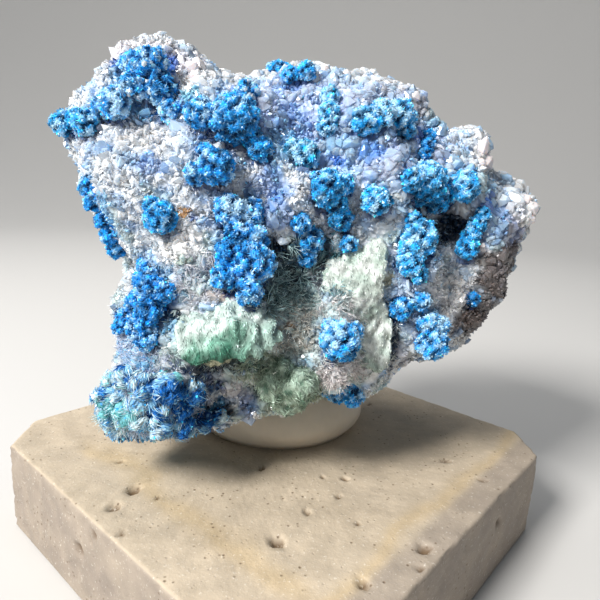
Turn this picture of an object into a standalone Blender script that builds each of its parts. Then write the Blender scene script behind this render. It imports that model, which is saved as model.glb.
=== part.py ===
"""Shattuckite on quartz, held by a pad of putty on a travertine slab.

The named sizes are in millimetres. The origin is the middle of the slab's underside,
X runs to the right of the show face, Y away from the viewer and Z up.
"""
import math

import bmesh
import bpy
import numpy as np
from mathutils import Matrix, Vector
from mathutils.bvhtree import BVHTree

MM = 0.001
GAP = 0.3

SLAB_SIDE = 50.0
SLAB_THICK = 10.9
SLAB_CORNER_CUT = 4.5
SLAB_TURN = math.radians(49.0)
SLAB_EDGE = 0.4
# Pits in the slab: along and across its own sides, height above the underside, radius.
SLAB_PITS = [
    (-19.4, 2.9, 10.9, 0.7), (-22.4, 1.6, 10.9, 0.6), (-6.8, -3.2, 10.9, 0.4),
    (-14.4, -13.0, 10.9, 0.8), (10.4, -17.3, 10.9, 0.5), (-5.5, -23.2, 10.9, 0.7),
    (-13.0, -21.6, 10.9, 0.6), (12.0, 14.0, 10.9, 0.7), (18.0, 3.0, 10.9, 0.5),
    (-25.0, 4.0, 6.0, 0.8), (-25.0, -9.0, 4.5, 0.6), (-8.0, -25.0, 5.0, 0.7),
    (9.0, -25.0, 7.0, 0.6), (25.0, -6.0, 6.5, 0.8), (25.0, 10.0, 4.0, 0.6),
    (-6.0, 25.0, 6.0, 0.8), (11.0, 25.0, 4.5, 0.6),
]

PUTTY_PLACE = (-1.2, 7.5)
# The putty's side, from its foot to its crown: radius and height above the slab.
PUTTY_SIDE = [
    (11.2, 0.0), (11.8, 1.6), (11.6, 3.2), (10.6, 5.0), (8.6, 7.0), (5.0, 8.8), (0.0, 9.8),
]
PUTTY_STEPS = 28

ROCK_HEART = np.array([0.0, 2.0, 34.0])
ROCK_FRONT_DEPTH = 13.0
ROCK_BACK_DEPTH = 14.0
ROCK_SQUARENESS = 2.6
ROCK_LEAN_ACROSS = 0.12
ROCK_LEAN_UP = 0.22
ROCK_KEPT_FACES = 0.42
ROCK_KEPT_AFTER = 0.62

# The rock's outline as seen from the front: heading round the heart in degrees
# (0 to the right, 90 up) and the reach to the edge.
ROCK_OUTLINE = [
    (5, 28.0), (14, 30.4), (22, 28.1), (27, 25.9), (36, 25.8), (42, 23.2), (55, 23.6),
    (70, 22.6), (76, 22.9), (84, 21.7), (89, 20.2), (94, 20.3), (100, 21.5), (106, 21.5),
    (112, 21.2), (115, 22.2), (118, 24.7), (124, 28.0), (129, 28.4), (134, 29.6),
    (143, 28.7), (152, 29.6), (160, 25.6), (169, 22.0), (182, 18.5), (198, 19.3),
    (210, 21.0), (217, 24.2), (228, 24.8), (240, 21.8), (250, 19.6), (257, 17.4),
    (272, 17.0), (290, 16.6), (308, 17.0), (322, 18.6), (340, 22.4), (355, 25.0),
]

# Swells and hollows of the face: across, up, spread, and how far they stand forward.
ROCK_FACE = [
    (-17.0, 15.0, 6.0, 5.0),
    (-5.5, 28.0, 3.5, 1.5),
    (-6.0, 22.6, 2.2, -1.6),
    (-6.3, 19.8, 1.8, -2.4),
    (1.5, 34.5, 3.4, -2.4),
    (14.0, 34.0, 6.0, -2.0),
    (17.2, 38.4, 2.2, -4.0),
    (-14.5, 44.5, 4.0, 1.0),
]

# Blue growths: side that they sit on, then each ball's place on that side and radius.
# A place is across and up on the front and back, depth and up on the left and right,
# across and depth on the top.
SHATTUCKITE = {
    "shattuckite_left_tip": ("front", [(-23.7, 47.2, 1.4), (-22.3, 47.6, 1.2), (-20.9, 47.1, 1.45)]),
    "shattuckite_crown": ("front", [
        (-19.0, 49.0, 1.2), (-17.5, 49.3, 1.7), (-16.2, 50.8, 1.5), (-17.0, 52.8, 1.2), (-15.2, 52.3, 2.3),
        (-13.6, 50.6, 1.7), (-12.4, 48.8, 1.3),
    ]),
    "shattuckite_saddle": ("front", [(-5.1, 50.9, 1.3)]),
    "shattuckite_big_ball": ("front", [
        (-6.5, 48.0, 2.6), (-9.0, 48.3, 1.7), (-4.6, 46.8, 1.4), (-3.4, 45.5, 1.4),
    ]),
    "shattuckite_shoulder": ("front", [(-7.5, 43.5, 1.9), (-9.1, 43.1, 1.2), (-8.6, 44.9, 1.0)]),
    "shattuckite_lone_left": ("front", [(-12.4, 39.0, 1.7), (-13.2, 40.1, 0.9)]),
    "shattuckite_left_rim": ("front", [
        (-20.6, 41.1, 1.0), (-19.8, 39.7, 1.1), (-18.9, 38.2, 1.1), (-18.4, 36.6, 1.15), (-18.1, 35.2, 1.15),
    ]),
    "shattuckite_top_ridge": ("front", [(0.6, 54.0, 1.1), (-1.0, 53.5, 1.0)]),
    "shattuckite_column": ("front", [(3.2, 51.2, 1.2), (3.4, 49.6, 1.3), (3.3, 48.2, 1.1)]),
    "shattuckite_right_top": ("front", [
        (6.8, 48.9, 1.6), (8.5, 49.6, 1.5), (10.2, 49.7, 1.8), (11.2, 48.4, 1.2),
    ]),
    "shattuckite_thread": ("front", [(13.9, 48.0, 1.0), (13.7, 47.1, 1.0), (13.5, 46.2, 0.9)]),
    "shattuckite_teal_ball": ("front", [(0.8, 45.3, 1.6), (-0.4, 45.8, 1.1)]),
    "shattuckite_middle": ("front", [
        (3.1, 42.1, 2.0), (5.0, 42.6, 1.1), (4.2, 41.0, 1.3), (4.7, 39.7, 1.4),
    ]),
    "shattuckite_lone_middle": ("front", [(8.5, 41.3, 1.6), (7.9, 42.3, 0.9)]),
    "shattuckite_big_right": ("front", [
        (13.0, 43.2, 2.4), (11.4, 43.4, 1.3), (15.2, 41.8, 1.5), (16.6, 42.6, 1.2), (17.9, 43.2, 1.8),
    ]),
    "shattuckite_fall": ("front", [
        (12.2, 39.5, 1.1), (12.6, 37.7, 2.1), (12.4, 36.4, 1.6), (12.3, 35.2, 1.5), (13.2, 34.2, 1.0),
    ]),
    "shattuckite_cave_rim": ("front", [(20.4, 40.4, 0.9), (20.1, 39.2, 1.1), (19.7, 37.9, 1.2), (19.3, 36.6, 1.4)]),
    "shattuckite_under_fall": ("front", [(11.9, 30.8, 1.4), (13.6, 31.5, 1.1)]),
    "shattuckite_low_right": ("front", [(14.6, 29.2, 1.4), (15.9, 28.6, 1.3), (15.4, 27.0, 1.8)]),
    "shattuckite_seed": ("front", [(20.4, 31.0, 0.9)]),
    "shattuckite_frosted_ball": ("front", [(5.3, 27.6, 2.1), (6.6, 28.5, 1.0), (4.4, 28.9, 0.9)]),
    "shattuckite_lower_lip": ("front", [(4.9, 21.0, 1.1), (6.1, 20.8, 1.3), (7.5, 21.0, 1.4)]),
    "shattuckite_centre": ("front", [
        (-6.1, 39.9, 1.6), (-4.3, 39.5, 1.6), (-5.2, 37.9, 1.7), (-3.6, 37.0, 1.6), (-5.7, 35.6, 1.6),
        (-3.7, 34.7, 2.2), (-5.6, 33.7, 1.5), (-3.7, 32.4, 1.5),
    ]),
    "shattuckite_valley": ("front", [(0.8, 39.0, 1.1), (1.6, 37.3, 1.5), (1.5, 35.4, 1.1)]),
    "shattuckite_valley_seed": ("front", [(5.8, 36.9, 1.0)]),
    "shattuckite_left_chain": ("front", [
        (-14.4, 34.0, 1.2), (-13.7, 33.0, 1.4), (-13.4, 32.4, 1.5), (-13.0, 31.7, 1.6), (-11.6, 31.6, 1.3),
        (-14.2, 30.4, 1.3), (-12.9, 29.9, 1.5), (-13.5, 28.5, 1.5), (-12.9, 27.4, 1.3),
    ]),
    "shattuckite_left_wall": ("front", [(-16.9, 27.0, 1.0), (-16.8, 28.2, 0.9)]),
    "shattuckite_foot": ("front", [
        (-17.3, 20.8, 1.3), (-16.3, 22.3, 1.35), (-14.5, 23.7, 1.4), (-12.8, 23.8, 1.5), (-10.9, 23.4, 1.75),
        (-9.0, 22.5, 1.45), (-15.3, 21.2, 1.3), (-13.3, 21.8, 1.3), (-11.4, 21.7, 1.3), (-9.8, 20.9, 1.2),
        (-16.5, 19.6, 1.25), (-14.7, 20.0, 1.45), (-13.2, 20.2, 1.35), (-11.5, 19.6, 1.45),
        (-9.9, 19.0, 1.45), (-8.2, 18.5, 1.3), (-6.7, 18.5, 1.0),
    ]),
    "shattuckite_back_left": ("back", [(-12.0, 45.0, 2.2), (-14.0, 46.2, 1.6), (-11.0, 43.0, 1.4)]),
    "shattuckite_back_middle": ("back", [(2.0, 38.0, 2.3), (4.2, 39.2, 1.7), (0.2, 36.4, 1.5)]),
    "shattuckite_back_right": ("back", [(15.0, 44.0, 1.9), (16.8, 42.8, 1.5)]),
    "shattuckite_back_low": ("back", [(-9.0, 27.0, 2.0), (-7.0, 26.0, 1.5), (-10.4, 28.8, 1.3)]),
    "shattuckite_back_seed": ("back", [(11.0, 29.0, 1.7)]),
    "shattuckite_left_side": ("left", [(6.0, 43.0, 1.8), (7.6, 44.4, 1.3), (4.6, 41.4, 1.3)]),
    "shattuckite_top_side": ("top", [(-3.0, 9.0, 1.8), (-1.0, 10.2, 1.4)]),
    "shattuckite_right_side": ("right", [(8.0, 37.0, 1.7), (9.4, 38.4, 1.3)]),
}

# Fibrous green growths, built of lumps in the same way.
GREEN = {
    "malachite_ledge": ("front", [
        (-9.8, 26.2, 1.25), (-8.6, 26.8, 1.95), (-6.6, 27.4, 2.5), (-4.4, 28.1, 2.6), (-2.4, 28.6, 2.2),
        (-0.8, 28.9, 1.5),
    ]),
    "chrysocolla_rib": ("front", [
        (9.2, 38.0, 1.2), (8.8, 36.4, 1.5), (8.2, 34.8, 1.9), (7.3, 33.2, 2.2), (7.7, 31.4, 2.0),
        (9.3, 29.8, 1.3), (9.6, 28.2, 1.35), (9.7, 26.6, 1.45), (9.5, 25.0, 1.6), (8.9, 23.4, 1.6),
    ]),
    "chrysocolla_apron": ("front", [(0.7, 21.4, 2.2), (-0.8, 22.8, 1.8), (1.8, 23.4, 1.7), (-0.2, 24.4, 1.4)]),
}
BALL_LIFT = 0.35
BALL_KNOBS = 0.09
BALL_KEPT_FACES = 0.31
LEDGE_LIFT = -0.1

# Quartz points named by place on the front (across, up), radius, length out of the rock
# and the way each points.
NAMED_POINTS = [
    (2.6, 54.6, 0.8, 1.5, (0.0, -0.2, 1.0)),
    (5.2, 54.8, 0.9, 1.7, (0.1, -0.3, 1.0)),
    (12.6, 52.6, 1.0, 1.6, (0.4, -0.3, 1.0)),
    (20.4, 47.2, 0.9, 2.4, (0.2, -0.3, 1.0)),
    (27.6, 40.4, 1.0, 2.2, (1.0, -0.3, 0.2)),
    (-11.4, 53.8, 0.9, 1.5, (0.5, -0.4, 1.0)),
]
DRUSE_TRIES = 420
DRUSE_POINTS = 64
DRUSE_SPACING = 3.4
DRUSE_RADIUS = (0.6, 1.1)
DRUSE_REACH = (0.7, 1.4)
DRUSE_SUNK = 1.6


def lumps(points, size, seed):
    """Smooth random relief: the sum of sixteen waves about `size` long in random headings."""
    rng = np.random.default_rng(seed)
    heading = rng.normal(size=(16, 3))
    heading /= np.linalg.norm(heading, axis=1)[:, None]
    stretch = rng.uniform(0.7, 1.4, 16) * 2.0 * math.pi / size
    phase = rng.uniform(0.0, 2.0 * math.pi, 16)
    return np.cos(points @ (heading * stretch[:, None]).T + phase).sum(axis=1) / 4.0


def rock_surface(heading):
    """Points of the rock for unit headings from its heart.

    The reach is a rounded box between the outline and the half depths. The body then
    leans with x and z, and the face swells forward by the named bumps.
    """
    angles, reaches = np.array(ROCK_OUTLINE).T
    turn = np.degrees(np.arctan2(heading[:, 2], heading[:, 0])) % 360.0
    edge = np.interp(turn, angles, reaches, period=360.0)
    depth = np.where(heading[:, 1] < 0.0, ROCK_FRONT_DEPTH, ROCK_BACK_DEPTH)
    flat = np.hypot(heading[:, 0], heading[:, 2]) / edge
    deep = np.abs(heading[:, 1]) / depth
    reach = (flat ** ROCK_SQUARENESS + deep ** ROCK_SQUARENESS) ** (-1.0 / ROCK_SQUARENESS)
    spot = heading * reach[:, None]
    spot[:, 1] += ROCK_LEAN_ACROSS * spot[:, 0] + ROCK_LEAN_UP * spot[:, 2]
    place = ROCK_HEART + spot
    facing = np.clip(0.35 - heading[:, 1], 0.0, 1.0)
    for across, up, spread, forward in ROCK_FACE:
        near = np.hypot(place[:, 0] - across, place[:, 2] - up) / spread
        place[:, 1] -= forward * np.exp(-0.5 * near ** 2) * facing
    outward = heading * (0.9 * lumps(place, 9.0, 3) + 0.45 * lumps(place, 4.5, 5))[:, None]
    return place + outward


def finish(name, color, roughness):
    """A plain material with the piece's own colour."""
    material = bpy.data.materials.new(name)
    material.use_nodes = True
    shader = material.node_tree.nodes["Principled BSDF"]
    shader.inputs["Base Color"].default_value = (*color, 1.0)
    shader.inputs["Roughness"].default_value = roughness
    shader.inputs["Metallic"].default_value = 0.0
    return material


def new_object(name, bm, collection, material=None):
    """An object from a bmesh in millimetres, scaled to metres."""
    bmesh.ops.scale(bm, vec=(MM, MM, MM), verts=bm.verts)
    mesh = bpy.data.meshes.new(name)
    bm.to_mesh(mesh)
    bm.free()
    thing = bpy.data.objects.new(name, mesh)
    collection.objects.link(thing)
    if material:
        mesh.materials.append(material)
    return thing


def as_cutter(thing):
    thing.hide_render = True
    thing.display_type = "WIRE"
    return thing


def boolean(thing, other, operation):
    cut = thing.modifiers.new(operation.lower(), "BOOLEAN")
    cut.operation = operation
    cut.object = other
    cut.solver = "EXACT"
    cut.use_self = True
    return cut


def thin(thing, kept):
    """Merge the smallest faces away until the given share of them is left."""
    thinned = thing.modifiers.new("thinned", "DECIMATE")
    thinned.ratio = kept


def baked(thing):
    """The object's mesh with its modifiers applied."""
    depsgraph = bpy.context.evaluated_depsgraph_get()
    return bpy.data.meshes.new_from_object(thing.evaluated_get(depsgraph))


def make_slab(collection, cutters, material):
    """A square slab with its four upright corners cut off, its edges eased and its pits cut."""
    half = SLAB_SIDE / 2.0
    inner = half - SLAB_CORNER_CUT
    bm = bmesh.new()
    ring = []
    for turn in range(4):
        spin = Matrix.Rotation(SLAB_TURN + turn * math.pi / 2.0, 2)
        for across in (-inner, inner):
            corner = spin @ Vector((half, across))
            ring.append(bm.verts.new((corner.x, corner.y, 0.0)))
    base = bm.faces.new(ring)
    raised = bmesh.ops.extrude_face_region(bm, geom=[base])
    top = [v for v in raised["geom"] if isinstance(v, bmesh.types.BMVert)]
    bmesh.ops.translate(bm, verts=top, vec=(0.0, 0.0, SLAB_THICK))
    bmesh.ops.recalc_face_normals(bm, faces=bm.faces)
    slab = new_object("travertine_slab", bm, collection, material)
    eased = slab.modifiers.new("eased_edges", "BEVEL")
    eased.width = SLAB_EDGE * MM
    eased.segments = 2
    boolean(slab, make_pits(cutters), "DIFFERENCE")
    return slab


def make_pits(collection):
    """One cutter of rough little balls, set in the slab's top and sides."""
    rng = np.random.default_rng(11)
    bm = bmesh.new()
    for along, across, up, radius in SLAB_PITS:
        place = Matrix.Rotation(SLAB_TURN, 3, "Z") @ Vector((along, across, up))
        pit = bmesh.ops.create_icosphere(bm, subdivisions=1, radius=radius)["verts"]
        for vertex in pit:
            vertex.co *= rng.uniform(0.8, 1.15)
            vertex.co.x *= 1.25
        bmesh.ops.translate(bm, verts=pit, vec=place)
    return as_cutter(new_object("slab_pits", bm, collection))


def make_putty(collection, rock_room, material):
    """A turned pad of putty on the slab, hollowed where the rock is pressed into it."""
    mesh = bpy.data.meshes.new("mounting_putty")
    foot = SLAB_THICK + GAP
    side = [(radius * MM, 0.0, (foot + up) * MM) for radius, up in PUTTY_SIDE]
    profile = list(reversed(side)) + [(0.0, 0.0, foot * MM)]
    mesh.from_pydata(profile, [(i, i + 1) for i in range(len(profile) - 1)], [])
    mesh.materials.append(material)
    pad = bpy.data.objects.new("mounting_putty", mesh)
    collection.objects.link(pad)
    pad.location = (PUTTY_PLACE[0] * MM, PUTTY_PLACE[1] * MM, 0.0)
    turned = pad.modifiers.new("turned", "SCREW")
    turned.steps = PUTTY_STEPS
    turned.render_steps = PUTTY_STEPS
    turned.use_merge_vertices = True
    turned.merge_threshold = 0.00001
    boolean(pad, rock_room, "DIFFERENCE")
    return pad


def make_rock_form(collection):
    """The rock without its quartz points: a fine icosphere carried out to its surface, then thinned."""
    bm = bmesh.new()
    bmesh.ops.create_icosphere(bm, subdivisions=5, radius=1.0)
    heading = np.array([v.co for v in bm.verts])
    heading /= np.linalg.norm(heading, axis=1)[:, None]
    for vertex, place in zip(bm.verts, rock_surface(heading)):
        vertex.co = place
    form = new_object("rock_form", bm, collection)
    thin(form, ROCK_KEPT_FACES)
    mesh = baked(form)
    form.modifiers.clear()
    form.data = mesh
    return as_cutter(form)


def make_rock_room(form, collection):
    """The rock's form grown by the gap that its neighbours keep to it."""
    bm = bmesh.new()
    bm.from_mesh(form.data)
    bm.normal_update()
    moves = [v.normal * (GAP * MM * min(v.calc_shell_factor(), 1.6)) for v in bm.verts]
    for vertex, move in zip(bm.verts, moves):
        vertex.co += move
    mesh = bpy.data.meshes.new("rock_room")
    bm.to_mesh(mesh)
    bm.free()
    room = bpy.data.objects.new("rock_room", mesh)
    collection.objects.link(room)
    return as_cutter(room)


def seat(tree, side, first, second):
    """Where a straight line from the given side meets the rock, and the rock's normal there."""
    far = 90.0
    lines = {
        "front": ((first, -far, second), (0.0, 1.0, 0.0)),
        "back": ((first, far, second), (0.0, -1.0, 0.0)),
        "left": ((-far, first, second), (1.0, 0.0, 0.0)),
        "right": ((far, first, second), (-1.0, 0.0, 0.0)),
        "top": ((first, second, far), (0.0, 0.0, -1.0)),
    }
    start, way = lines[side]
    spot, normal, _, _ = tree.ray_cast(Vector(start) * MM, Vector(way))
    return spot / MM, normal


def make_growth(name, tree, side, balls, lift, rock_room, collection, material):
    """Knobbly balls grown into one another, seated on the rock and cut to its surface."""
    rng = np.random.default_rng(sum(name.encode()))
    bm = bmesh.new()
    centres = []
    for first, second, radius in balls:
        spot, normal = seat(tree, side, first, second)
        centre = spot + normal * radius * lift
        ball = bmesh.ops.create_icosphere(bm, subdivisions=2, radius=radius)["verts"]
        for vertex in ball:
            vertex.co *= 1.0 + BALL_KNOBS * rng.uniform(-1.0, 1.0)
        bmesh.ops.translate(bm, verts=ball, vec=centre)
        centres.append((centre, radius))
    growth = new_object(name, bm, collection, material)
    boolean(growth, rock_room, "DIFFERENCE")
    thin(growth, BALL_KEPT_FACES)
    return centres


def add_quartz_point(bm, spot, way, radius, reach):
    """A six-sided quartz point: a prism sunk in the rock, its outer end drawn up to a tip."""
    prism = DRUSE_SUNK + reach * 0.6
    made = bmesh.ops.create_cone(
        bm, cap_ends=True, segments=6, radius1=radius * 0.8, radius2=radius, depth=prism,
    )["verts"]
    cap = next(f for v in made for f in v.link_faces if len(f.verts) == 6 and f.normal.z > 0.9)
    tip = bmesh.ops.poke(bm, faces=[cap])["verts"]
    bmesh.ops.translate(bm, verts=tip, vec=(0.0, 0.0, radius * 0.9))
    turn = Vector((0.0, 0.0, 1.0)).rotation_difference(way).to_matrix().to_4x4()
    middle = spot + way * (prism / 2.0 - DRUSE_SUNK)
    bmesh.ops.transform(bm, matrix=Matrix.Translation(middle) @ turn, verts=made + tip)


def make_druse(tree, taken, collection):
    """The quartz points: the named ones, then seeded ones, clear of the blue and green growths."""
    rng = np.random.default_rng(7)
    bm = bmesh.new()
    placed = []

    def free(spot, radius):
        for centre, size in taken:
            if (spot - centre).length < size + radius + DRUSE_SUNK:
                return False
        return all((spot - other).length > DRUSE_SPACING for other in placed)

    for across, up, radius, reach, way in NAMED_POINTS:
        spot, _ = seat(tree, "front", across, up)
        if free(spot, radius):
            placed.append(spot)
            add_quartz_point(bm, spot, Vector(way).normalized(), radius, reach)
    heart = Vector(ROCK_HEART)
    for _ in range(DRUSE_TRIES):
        if len(placed) >= DRUSE_POINTS:
            break
        heading = Vector(rng.normal(size=3)).normalized()
        radius = rng.uniform(*DRUSE_RADIUS)
        reach = rng.uniform(*DRUSE_REACH)
        sway = Vector(rng.normal(size=3)) * 0.25
        spot, normal, _, _ = tree.ray_cast((heart + heading * 60.0) * MM, -heading)
        spot = spot / MM
        if spot.z > SLAB_THICK + PUTTY_SIDE[-1][1] and free(spot, radius):
            placed.append(spot)
            add_quartz_point(bm, spot, (normal + sway).normalized(), radius, reach)
    return as_cutter(new_object("quartz_points", bm, collection))


def build():
    for old in list(bpy.data.objects):
        bpy.data.objects.remove(old, do_unlink=True)
    specimen = bpy.data.collections.new("shattuckite")
    cutters = bpy.data.collections.new("cutters")
    for group in (specimen, cutters):
        bpy.context.scene.collection.children.link(group)

    form = make_rock_form(cutters)
    room = make_rock_room(form, cutters)
    tree = BVHTree.FromPolygons(
        [v.co for v in form.data.vertices], [tuple(p.vertices) for p in form.data.polygons])

    blue = finish("shattuckite_blue", (0.01, 0.12, 0.5), 0.6)
    green = finish("fibrous_green", (0.5, 0.75, 0.62), 0.7)
    taken = []
    for name, (side, balls) in SHATTUCKITE.items():
        taken += make_growth(name, tree, side, balls, BALL_LIFT, room, specimen, blue)
    for name, (side, balls) in GREEN.items():
        taken += make_growth(name, tree, side, balls, LEDGE_LIFT, room, specimen, green)

    rock = form.copy()
    rock.data = form.data.copy()
    rock.name = "quartz_matrix"
    rock.data.materials.append(finish("quartz", (0.78, 0.79, 0.86), 0.35))
    rock.hide_render = False
    rock.display_type = "TEXTURED"
    specimen.objects.link(rock)
    boolean(rock, make_druse(tree, taken, cutters), "UNION")
    thin(rock, ROCK_KEPT_AFTER)

    make_putty(specimen, room, finish("putty", (0.86, 0.84, 0.78), 0.5))
    make_slab(specimen, cutters, finish("travertine", (0.78, 0.68, 0.5), 0.75))


build()
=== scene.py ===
"""A specimen of shattuckite on quartz, pressed into putty on a slab of travertine.

Named sizes are in millimetres; make_piece turns them to metres. X runs to the right of
the show face, Y away from the viewer and Z up, from the middle of the slab's underside.
"""
import math

import bpy
import numpy as np
from mathutils import Matrix, Vector
from mathutils.bvhtree import BVHTree


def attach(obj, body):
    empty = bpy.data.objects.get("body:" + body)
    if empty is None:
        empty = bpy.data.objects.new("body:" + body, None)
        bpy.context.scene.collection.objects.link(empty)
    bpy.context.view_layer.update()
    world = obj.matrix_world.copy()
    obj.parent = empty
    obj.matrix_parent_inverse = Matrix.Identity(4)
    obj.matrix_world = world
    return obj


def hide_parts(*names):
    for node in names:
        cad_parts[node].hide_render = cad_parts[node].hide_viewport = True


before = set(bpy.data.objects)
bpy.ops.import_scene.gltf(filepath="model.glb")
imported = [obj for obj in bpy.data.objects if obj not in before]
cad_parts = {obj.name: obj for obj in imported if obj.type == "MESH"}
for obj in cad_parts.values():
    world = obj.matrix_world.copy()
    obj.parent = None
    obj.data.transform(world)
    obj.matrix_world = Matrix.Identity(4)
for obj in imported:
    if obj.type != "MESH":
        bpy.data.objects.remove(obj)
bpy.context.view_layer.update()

MM = 0.001


# The room: a pale floor that sweeps up into its own backdrop all round, one soft key lamp
# high on the left, a weak fill on the right, and the camera, close to the stone and looking
# a little down on it.
CAMERA_PLACE = (1.26, -61.17, 43.44)
CAMERA_DOWN = math.radians(13.31)
CAMERA_ROLL = math.radians(3.13)
CAMERA_LENS = 31.58
FLOOR_TONE = (0.58, 0.57, 0.555, 1.0)
FLOOR_FLAT = 350.0
FLOOR_BEND = 450.0
FLOOR_AROUND = 96
SKY_TONE = (0.68, 0.82, 1.0, 1.0)
SKY_STRENGTH = 0.12


def make_camera():
    """A level camera turned down by its pitch and then rolled round its own line of sight."""
    lens = bpy.data.cameras.new("camera")
    lens.lens = CAMERA_LENS
    lens.sensor_width = 36.0
    lens.clip_start = 0.002
    camera = bpy.data.objects.new("camera", lens)
    bpy.context.scene.collection.objects.link(camera)
    pitch = Matrix.Rotation(math.pi / 2.0 - CAMERA_DOWN, 4, "X")
    roll = Matrix.Rotation(CAMERA_ROLL, 4, "Z")
    camera.matrix_world = Matrix.Translation(Vector(CAMERA_PLACE) * MM) @ pitch @ roll
    bpy.context.scene.camera = camera


def make_lamp(name, place, aim, width, power, tone):
    """A square soft lamp at a place in millimetres, facing its aim."""
    light = bpy.data.lights.new(name, "AREA")
    light.shape = "SQUARE"
    light.size = width * MM
    light.energy = power
    light.color = tone
    lamp = bpy.data.objects.new(name, light)
    bpy.context.scene.collection.objects.link(lamp)
    lamp.location = Vector(place) * MM
    away = Vector(place) - Vector(aim)
    lamp.rotation_mode = "QUATERNION"
    lamp.rotation_quaternion = away.to_track_quat("Z", "Y")


def make_floor():
    """A round floor, flat out to its bend and then rising in a quarter circle to a low wall."""
    bend = np.linspace(0.1, math.pi / 2.0, 14)
    reach = np.r_[60.0, 120.0, 200.0, FLOOR_FLAT, FLOOR_FLAT + FLOOR_BEND * np.sin(bend)]
    rise = np.r_[np.zeros(4), FLOOR_BEND * (1.0 - np.cos(bend))]
    turn = np.linspace(0.0, 2.0 * math.pi, FLOOR_AROUND, endpoint=False)
    ring = np.stack([np.cos(turn), np.sin(turn), np.ones(FLOOR_AROUND)], axis=1)
    points = ring[None] * np.stack([reach, reach, rise], axis=1)[:, None]
    points = np.concatenate([[(0.0, 0.0, 0.0)], points.reshape(-1, 3)]) * MM
    step = np.arange(FLOOR_AROUND)
    following = (step + 1) % FLOOR_AROUND
    middle = np.stack([np.zeros(FLOOR_AROUND, int), 1 + step, 1 + following], axis=1)
    row = 1 + np.arange(len(reach) - 1)[:, None] * FLOOR_AROUND
    a, b = (row + step).ravel(), (row + following).ravel()
    rings = np.stack([a, a + FLOOR_AROUND, b + FLOOR_AROUND, b], axis=1)
    mesh = bpy.data.meshes.new("studio_floor")
    mesh.from_pydata(points.tolist(), [], middle.tolist() + rings.tolist())
    mesh.polygons.foreach_set("use_smooth", np.ones(len(mesh.polygons), dtype=bool))
    paper = bpy.data.materials.new("pale_paper")
    paper.use_nodes = True
    shader = paper.node_tree.nodes["Principled BSDF"]
    shader.inputs["Base Color"].default_value = FLOOR_TONE
    shader.inputs["Roughness"].default_value = 0.8
    mesh.materials.append(paper)
    floor = bpy.data.objects.new("studio_floor", mesh)
    bpy.context.scene.collection.objects.link(floor)


make_camera()
make_lamp("key_lamp", (-235.0, -205.0, 290.0), (0.0, 0.0, 30.0), 120.0, 3.1, (1.0, 0.98, 0.95))
make_lamp("fill_lamp", (200.0, -360.0, 160.0), (0.0, 0.0, 30.0), 260.0, 0.07, (0.85, 0.92, 1.0))
make_lamp("backdrop_lamp", (0.0, 120.0, 430.0), (0.0, 620.0, 90.0), 320.0, 1.6, (1.0, 0.99, 0.97))
make_floor()
world = bpy.data.worlds.new("soft_sky")
world.use_nodes = True
world.node_tree.nodes["Background"].inputs["Color"].default_value = SKY_TONE
world.node_tree.nodes["Background"].inputs["Strength"].default_value = SKY_STRENGTH
bpy.context.scene.world = world
bpy.context.scene.view_settings.view_transform = "Standard"


# The slab: a square of travertine with its upright corners cut off, its top honed cream with
# two tan streaks that follow the front edges, its sides sawn and left grey-pink, and open
# pits with brown walls. It rests on the floor by its own weight.
SLAB_SIDE = 50.0
SLAB_THICK = 10.9
SLAB_CORNER_CUT = 4.5
SLAB_TURN = math.radians(49.0)
SLAB_EDGE = 0.45
SLAB_AROUND = 520
# Open pits: along and across the slab's own sides, height above the underside, radius.
SLAB_PITS = [
    (-19.4, 2.9, 10.9, 0.75), (-22.4, 1.6, 10.9, 0.65), (-23.9, -2.4, 10.9, 0.35), (-6.8, -3.2, 10.9, 0.45),
    (-14.4, -13.0, 10.9, 0.75), (10.4, -17.3, 10.9, 0.5), (-5.5, -23.2, 10.9, 0.75),
    (-13.4, 11.1, 10.9, 0.35), (-13.0, -21.6, 10.9, 0.6), (12.0, 14.0, 10.9, 0.7), (18.0, 3.0, 10.9, 0.5),
    (-25.0, 4.0, 6.0, 0.8), (-25.0, -9.0, 4.5, 0.6), (-8.0, -25.0, 5.0, 0.7), (9.0, -25.0, 7.0, 0.6),
    (25.0, -6.0, 6.5, 0.8), (25.0, 10.0, 4.0, 0.6), (-6.0, 25.0, 6.0, 0.8), (11.0, 25.0, 4.5, 0.6),
    (-25.0, 0.5, 9.6, 0.5), (-25.0, 1.2, 8.7, 0.4),
]
SLAB_SMALL_PITS = 20
SLAB_CREAM = (0.51, 0.425, 0.32)
SLAB_TAN = (0.50, 0.37, 0.20)
SLAB_GREY = (0.27, 0.225, 0.19)
SLAB_PIT_BROWN = (0.10, 0.055, 0.02)


def unit(ways):
    """Each way at length 1."""
    return ways / np.maximum(np.linalg.norm(ways, axis=1), 1e-12)[:, None]


def waves(points, size, seed):
    """Smooth random relief: the sum of sixteen waves about `size` long in random headings."""
    rng = np.random.default_rng(seed)
    heading = unit(rng.normal(size=(16, 3)))
    stretch = rng.uniform(0.7, 1.4, 16) * 2.0 * math.pi / size
    phase = rng.uniform(0.0, 2.0 * math.pi, 16)
    return np.cos(points @ (heading * stretch[:, None]).T + phase).sum(axis=1) / 4.0


def ramp(value, low, high):
    """0 below low, 1 above high, and an even S between them."""
    share = np.clip((value - low) / (high - low), 0.0, 1.0)
    return share * share * (3.0 - 2.0 * share)


def blend_tone(first, second, share):
    """The first colour turned into the second by a share for each point."""
    share = np.clip(share, 0.0, 1.0)[:, None]
    return np.asarray(first) * (1.0 - share) + np.asarray(second) * share


def outward(points, faces):
    """The faces, turned over if the volume that they enclose counts as negative."""
    a, b, c = points[faces[:, 0]], points[faces[:, 1]], points[faces[:, 2]]
    if np.einsum("ij,ij->", a, np.cross(b, c)) < 0.0:
        return faces[:, ::-1]
    return faces


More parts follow.
